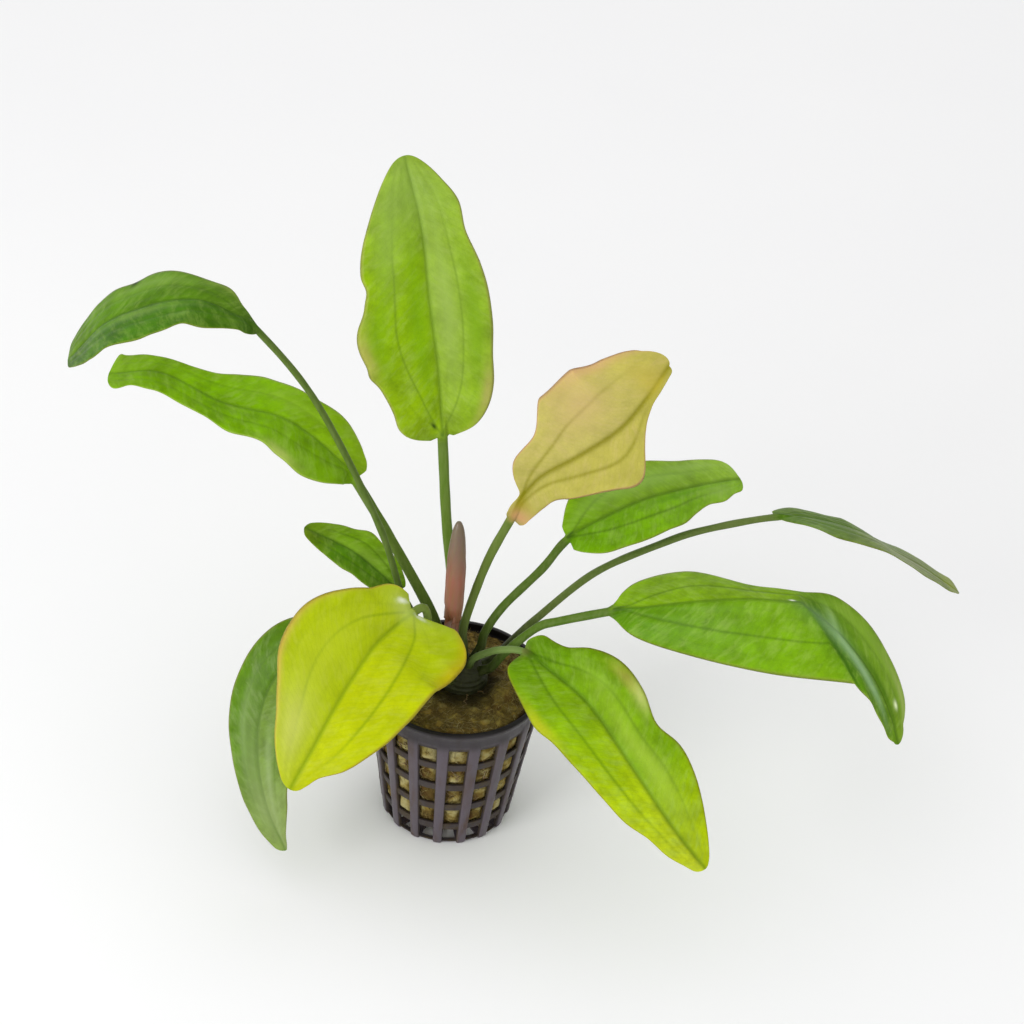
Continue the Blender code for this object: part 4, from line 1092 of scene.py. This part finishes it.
def woolTop(x, y):
    # height of the wool's top: nearly flat, a tuft by the crown, dropping at the rim
    r = np.hypot(x, y)
    reach = potRadius(wool["topEdge"]) - pot["wall"] - wool["gap"]
    base = wool["topEdge"] + (wool["topMiddle"] - wool["topEdge"]) * (1 - np.clip(r / reach, 0, 1) ** 3)
    clear = np.hypot(x - crown["centre"][0], y - crown["centre"][1]) - crown["radius"] - 1
    away = np.hypot(x - wool["lumpAt"][0], y - wool["lumpAt"][1])
    lump = wool["lumpHeight"] * np.exp(-(away / wool["lumpRadius"]) ** 2)
    return base + lump * np.clip(clear / wool["lumpSlope"], 0, 1)


def openingDepth(angle, z):
    # 1 in the middle of an opening of the pot, 0 behind its ribs and hoops
    pitch = math.tau / pot["columns"]
    across = np.abs((angle - math.radians(pot["openingAngle"]) + pitch / 2) % pitch - pitch / 2) / pitch
    inside = smoothStep(0.30 - across, 0.0, 0.12)
    rows = [smoothStep(np.minimum(z - low, high - z), 0.0, 1.6) for low, high in openingRows()]
    return inside * np.max(rows, axis=0)


def woolSkin():
    # top disc and side in one grid from pole to pole, roughened by sums of sine waves, and
    # swelling a little into the pot's openings
    angles = np.linspace(0, math.tau, wool["columns"], endpoint=False)[None]
    reach = potRadius(wool["topEdge"]) - pot["wall"] - wool["gap"]
    topR = np.linspace(0.02, 1, wool["topRows"])[:, None] * (reach - 0.8)
    x, y = topR * np.cos(angles), topR * np.sin(angles)
    flat = np.stack([x, y], -1)
    rough = 0.35 * waviness(flat, 3.2, 5, 26) + 0.16 * waviness(flat, 1.1, 6, 30)
    pits = 0.5 * smoothStep(waviness(flat, 4.5, 8, 20), 0.25, 0.9)
    ready = smoothStep(np.hypot(x - crown["centre"][0], y), 6.0, 9.0)
    top = np.stack([x, y, woolTop(x, y) + (rough - pits) * (0.25 + 0.75 * ready)], -1)
    z = np.linspace(wool["topEdge"] - 0.6, wool["bottom"], wool["sideRows"])[:, None] + 0 * angles
    r = potRadius(z) - pot["wall"] - wool["gap"] + 0 * angles
    space = onCircle(r, angles, z)
    dent = 0.5 * np.abs(waviness(space, 4.0, 9, 26)) + 0.25 * np.abs(waviness(space, 1.3, 10, 30))
    opening = openingDepth(angles, z)
    r = r - dent * (1 - opening * 0.5) + opening * (0.7 + 0.5 * waviness(space, 6.0, 12))
    side = onCircle(r, angles, z + 0.2 * waviness(space, 2.0, 13))
    ends = np.array([[0, 0, top[0, :, 2].mean()], [0, 0, wool["bottom"]]])
    points, faces = closedTube(np.concatenate([top, side]), *ends)
    return meshObject("rock_wool_block", points, faces)


def tubesAlong(paths, radii, sides):
    # every path gets rings of the radius given along it, in one mesh, with its ends closed
    count, steps = paths.shape[:2]
    way = unit(np.gradient(paths, axis=1))
    helper = np.where(np.abs(way[..., 2:3]) > 0.8, np.array([1.0, 0, 0]), np.array([0, 0, 1.0]))
    side = unit(np.cross(way, helper))
    front = np.cross(way, side)
    angle = np.arange(sides) * math.tau / sides
    ring = around(angle, side[:, :, None], front[:, :, None])
    points = (paths[:, :, None] + ring * radii[..., None, None]).reshape(-1, 3)
    step, k = np.meshgrid(np.arange(steps - 1), np.arange(sides), indexing="ij")
    here = step * sides + k
    beside = step * sides + (k + 1) % sides
    quads = np.stack([here, beside, beside + sides, here + sides], -1).reshape(-1, 4)
    start = np.arange(count) * steps * sides
    faces = (quads[None] + start[:, None, None]).reshape(-1, 4).tolist()
    firstCap = np.arange(sides)[::-1]
    lastCap = (steps - 1) * sides + np.arange(sides)
    faces += (firstCap[None] + start[:, None]).tolist() + (lastCap[None] + start[:, None]).tolist()
    return points, faces


def fibrePaths(seeds, outward, count, draw, length=(1.6, 4.6), rise=0.35):
    # short curved fibres that lie along the surface and lift from it in the middle
    heading = draw.normal(size=(count, 3))
    heading = unit(heading - (heading * outward).sum(-1, keepdims=True) * outward)
    bend = unit(np.cross(outward, heading))
    size = draw.uniform(*length, count)[:, None]
    t = np.linspace(-0.5, 0.5, wool["fibreSteps"])
    curl = draw.uniform(-0.5, 0.5, count)[:, None]
    lift = draw.uniform(0.0, rise, count)[:, None] * (1 - (2 * t[None]) ** 2) + 0.02
    tip = draw.uniform(-0.2, 0.8, count)[:, None] * rise * np.maximum(t, 0)[None] * 2
    return (seeds[:, None] + heading[:, None] * (size * t[None])[..., None]
            + bend[:, None] * (size * curl * (t[None] ** 2 - 0.08) * 2)[..., None]
            + outward[:, None] * (lift + tip)[..., None])


def woolFibres():
    # short curved tubes all over the top and behind the pot's openings; those that would touch
    # the stalks' roots or the pot are left out
    draw = np.random.default_rng(31)
    reach = potRadius(wool["topEdge"]) - pot["wall"] - 1.6
    r = reach * np.sqrt(draw.uniform(0.03, 1, wool["topFibres"]))
    angle = draw.uniform(0, math.tau, wool["topFibres"])
    x, y = r * np.cos(angle), r * np.sin(angle)
    outward = np.tile([0.0, 0, 1], (len(x), 1)) + draw.normal(size=(len(x), 3)) * 0.15
    topPaths = fibrePaths(np.stack([x, y, woolTop(x, y)], -1), unit(outward), len(x), draw)
    x, y = topPaths[..., 0], topPaths[..., 1]
    outsideCrown = np.hypot(x - crown["centre"][0], y).min(1) >= 6.5
    insidePot = np.hypot(x, y).max(1) < potRadius(46) - pot["wall"] - 0.15
    topPaths = topPaths[outsideCrown & insidePot]
    z = draw.uniform(wool["bottom"] + 0.5, pot["height"] - pot["rimBand"], wool["sideFibres"])
    angle = draw.uniform(0, math.tau, wool["sideFibres"])
    r = potRadius(z) - pot["wall"] - wool["gap"] - 0.15 + 0.7 * openingDepth(angle, z)
    outward = onCircle(1.0, angle, 0.0)
    sidePaths = fibrePaths(onCircle(r, angle, z), outward, len(z), draw, length=(1.2, 3.2), rise=0.15)
    x, y, z = (sidePaths[..., k] for k in range(3))
    limit = potRadius(z) - pot["wall"] - 0.08 + 2 * openingDepth(np.arctan2(y, x), z)
    paths = np.concatenate([topPaths, sidePaths[(np.hypot(x, y) < limit).all(1)]])
    taper = np.array([0.4, 0.9, 1.0, 1.0, 0.8, 0.3])
    radii = wool["fibreRadius"] * draw.uniform(0.6, 1.4, len(paths))[:, None] * taper[None]
    shade = draw.uniform(0, 1, len(paths))
    pieces = []
    for name, part in (("rock_wool_top_fibres", slice(0, len(topPaths))),
                       ("rock_wool_side_fibres", slice(len(topPaths), None))):
        points, faces = tubesAlong(paths[part], radii[part], wool["fibreSides"])
        place = np.repeat(shade[part], wool["fibreSides"] * wool["fibreSteps"])[:, None] * [1, 0, 0]
        pieces.append(meshObject(name, points, faces, places=dict(fibrePlace=place)))
    return pieces


def crownShade(f, colour, x, y, z):
    # the colour, darkened in a ring on the wool under the stalks
    c = crownShadow
    aside, behind = x - c["at"][0], y - c["at"][1]
    fromCrown = f.maths("SQRT", aside * aside + behind * behind)
    shadow = f.ease(fromCrown, c["gone"], c["full"]) * f.ease(z, c["low"], c["high"])
    return f.mix(shadow * c["share"], colour, tone(*woolTones["shadow"]))


def woolFinish():
    # mottled brown and olive with tan patches, dark pits, and a dark edge inside the rim that is
    # painted shadow
    f = Finish("rockWool", Roughness=0.95, Specular_IOR_Level=0.15)
    place = f.objectPlace()
    broad = f.noise(place, 110.0, 4.0, 0.6)
    patch = f.noise(place, 240.0, 3.0, 0.5)
    grain = f.noise(place, 1500.0, 4.0, 0.7)
    x, y, z = (part / mm for part in f.parts(place))
    tones = tonesOf(woolTones)
    onSide = f.ease(z, 44.5, 41.5)
    colour = f.mix(f.ease(broad, 0.35, 0.7), tones["brown"], tones["olive"])
    fromAxis = f.maths("SQRT", x * x + y * y)
    # laid over one another: how much of each tone shows where
    layers = ((f.ease(broad, 0.6, 0.4) * onSide * 0.7, "dark"),
              (f.ease(patch, 0.55, 0.75) * (0.55 + onSide * 0.35), "pale"),
              (f.ease(broad, 0.5, 0.66) * onSide * 0.7, "sidePale"),
              # painted shadow: a near black ring along the wall, in the gap between the wool and the
              # rim
              (f.ease(fromAxis, 21.5, 22.8) * (1 - onSide) * 0.9, "edge"),
              (f.ease(patch, 0.45, 0.3) * 0.7, "russet"),
              (f.ease(grain, 0.45, 0.3) * 0.5, "pit"))
    for share, key in layers:
        colour = f.mix(share, colour, tones[key])
    f.feed("Base Color", crownShade(f, colour, x, y, z))
    f.bump(grain, 0.35, 0.9)
    return f


def fibreFinish():
    # each fibre has one tone between brown and pale straw
    f = Finish("woolFibre", Roughness=0.8, Specular_IOR_Level=0.25)
    colour = f.ramp(f.attribute("fibrePlace")[0], (0.0, (84, 66, 30)), (0.5, (124, 104, 50)),
                    (0.85, (146, 130, 74)), (1.0, (178, 166, 120)))
    f.feed("Base Color", crownShade(f, colour, *(part / mm for part in f.parts(f.objectPlace()))))
    return f


dress(woolSkin(), woolFinish(), "rock_wool", "rock_wool_plug")
fibres = fibreFinish()
for piece in woolFibres():
    dress(piece, fibres, "rock_wool")
print("rock wool made")


# crown

crownLook = dict(inset=0.25, ridge=0.55, ridgeWidth=0.2, scar=0.16, scarCount=26, lumps=0.15,
                 rows=60, columns=120)
crownTones = dict(dark=(26, 30, 10), pale=(58, 60, 26), streak=(14, 12, 6))


def crownSkin():
    # a squat dome, pulled up into a ridge under every stalk and ringed by old leaf scars
    centre = np.array(crown["centre"])
    c = crownLook
    lift = np.radians(np.linspace(89, -8, c["rows"]))[:, None]
    turn = np.linspace(0, math.tau, c["columns"], endpoint=False)[None]
    way = direction(turn, lift)
    radius = np.full(way.shape[:2], crown["radius"] - c["inset"])
    for grown in [*leaves.values(), youngLeaf]:
        apart = np.arccos(np.clip(way @ direction(*np.radians(grown["root"])), -1, 1))
        radius = radius + c["ridge"] * np.exp(-(apart / c["ridgeWidth"]) ** 2)
    skin = way * crown["radius"]
    radius = radius + c["scar"] * np.sin(lift * c["scarCount"] + 1.2 * waviness(skin, 9.0, 41))
    radius = radius + c["lumps"] * waviness(skin, 2.2, 42)
    rings = centre + way * radius[..., None]
    points, faces = closedTube(rings, centre + [0, 0, crown["radius"] - 0.2], centre - [0, 0, 1.2])
    return meshObject("crown_base", points, faces)


def crownFinish():
    # dark olive with upright, nearly black streaks
    f = Finish("crownTissue", Specular_IOR_Level=0.35)
    tones = tonesOf(crownTones)
    place = f.objectPlace()
    broad = f.noise(place, 260.0, 4.0)
    streaks = f.streaks(place, 0.2, 1200.0, 4.0)
    colour = f.mix(broad, tones["dark"], tones["pale"])
    colour = f.mix(f.ease(streaks, 0.5, 0.7) * 0.5, colour, tones["streak"])
    f.feed("Base Color", colour)
    f.feed("Roughness", 0.5 + broad * 0.3)
    f.bump(streaks, 0.25, 0.8)
    return f


dress(crownSkin(), crownFinish(), "crown_tissue", "crown")
print("crown made")


# roots

roots = dict(topCount=5, sideCount=26, thickness=(0.1, 0.18), steps=28, sides=8)
rootTones = dict(straw=(142, 124, 86), brown=(92, 72, 40), fleck=(96, 74, 40))


def rootPaths():
    # over the wool from the crown to the edge, and down its side behind the openings
    draw = np.random.default_rng(77)
    t = np.linspace(0, 1, roots["steps"])
    paths = []
    for _ in range(roots["topCount"]):
        angle = draw.uniform(0, math.tau) + np.cumsum(draw.normal(0, 0.035, len(t)))
        r = 6.6 + t * draw.uniform(5.0, 15.0)
        x, y = crown["centre"][0] * (1 - t) + r * np.cos(angle), r * np.sin(angle)
        paths.append(np.stack([x, y, woolTop(x, y) + 0.25 - 0.7 * t**3], -1))
    for _ in range(roots["sideCount"]):
        angle = draw.uniform(0, math.tau) + np.cumsum(draw.normal(0, 0.03, len(t)))
        z = np.maximum(draw.uniform(30, 41) - t * draw.uniform(10, 26), wool["bottom"] + 0.6)
        r = potRadius(z) - pot["wall"] - 0.2 + 0.55 * openingDepth(angle, z)
        paths.append(onCircle(r, angle, z))
    return np.array(paths), draw


def rootSkin():
    # the paths, swayed a little and made into tapering tubes
    paths, draw = rootPaths()
    paths = paths + 0.12 * draw.normal(size=(len(paths), 1, 3))
    paths[..., :2] += np.stack([waviness(paths, 5.0, 80 + k) for k in range(2)], -1) * 0.18
    thick = draw.uniform(*roots["thickness"], len(paths))[:, None]
    taper = np.linspace(1.15, 0.55, paths.shape[1])[None]
    radii = thick * taper * (1 + 0.15 * waviness(paths, 1.5, 83))
    points, faces = tubesAlong(paths, radii, roots["sides"])
    shade = np.repeat(draw.uniform(0, 1, len(paths)), roots["steps"] * roots["sides"])
    return meshObject("thin_roots", points, faces, places=dict(fibrePlace=shade[:, None] * [1, 0, 0]))


def rootFinish():
    # each root has one tone between straw and brown, with brown flecks
    f = Finish("paleRoot", Roughness=0.55, Specular_IOR_Level=0.35, Subsurface_Weight=0.15,
               Subsurface_Scale=0.0008)
    tones = tonesOf(rootTones)
    grain = f.noise(f.objectPlace(), 900.0, 3.0)
    colour = f.mix(f.attribute("fibrePlace")[0], tones["straw"], tones["brown"])
    colour = f.mix(f.ease(grain, 0.45, 0.7) * 0.5, colour, tones["fleck"])
    f.feed("Base Color", colour)
    f.bump(grain, 0.08, 0.7)
    return f


dress(rootSkin(), rootFinish(), "rock_wool")
print("roots made")


# floor, light and world

def addFloor():
    # a wide pale square at the level the pot stands on
    reach = 4000.0
    corners = [(x * reach, y * reach, 0) for x, y in ((-1, -1), (1, -1), (1, 1), (-1, 1))]
    floor = meshObject("floor", corners, [[0, 1, 2, 3]], smooth=False)
    paper = Finish("paleFloor", Roughness=0.9, Specular_IOR_Level=0.1)
    grain = paper.noise(paper.objectPlace(), 6.0, 2.0)
    paper.feed("Base Color", paper.mix(grain, tone(250, 250, 250), tone(246, 246, 247)))
    floor.data.materials.append(paper.material)


def addLight(name, spot, aim, size, power):
    # a square soft box at the spot, turned to the aim point; power in watts
    lamp = bpy.data.lights.new(name, "AREA")
    lamp.shape = "RECTANGLE"
    lamp.size, lamp.size_y = size[0] * mm, size[1] * mm
    lamp.energy = power
    holder = bpy.data.objects.new(name, lamp)
    spot, aim = np.array(spot, float), np.array(aim, float)
    back = unit(spot - aim)
    side = unit(np.cross([0, 0, 1.0], back))
    turn = np.column_stack([side, np.cross(back, side), back])
    holder.matrix_world = Matrix.Translation(spot * mm) @ Matrix(turn.tolist()).to_4x4()
    scene.collection.objects.link(holder)


def addWorld(strength):
    # even white light from all around
    world = bpy.data.worlds.new("softRoom")
    world.use_nodes = True
    sky = world.node_tree.nodes["Background"]
    sky.inputs["Color"].default_value = (1, 1, 1, 1)
    sky.inputs["Strength"].default_value = strength
    scene.world = world


addFloor()
addWorld(0.9)
addLight("overheadBox", (0, 300, 2200), (0, 300, 0), (3200, 3200), 70.0)
addLight("frontLeftBox", (-700, -700, 420), (0, 0, 80), (500, 400), 5.0)
scene.view_settings.view_transform = "Standard"
print("stage set")
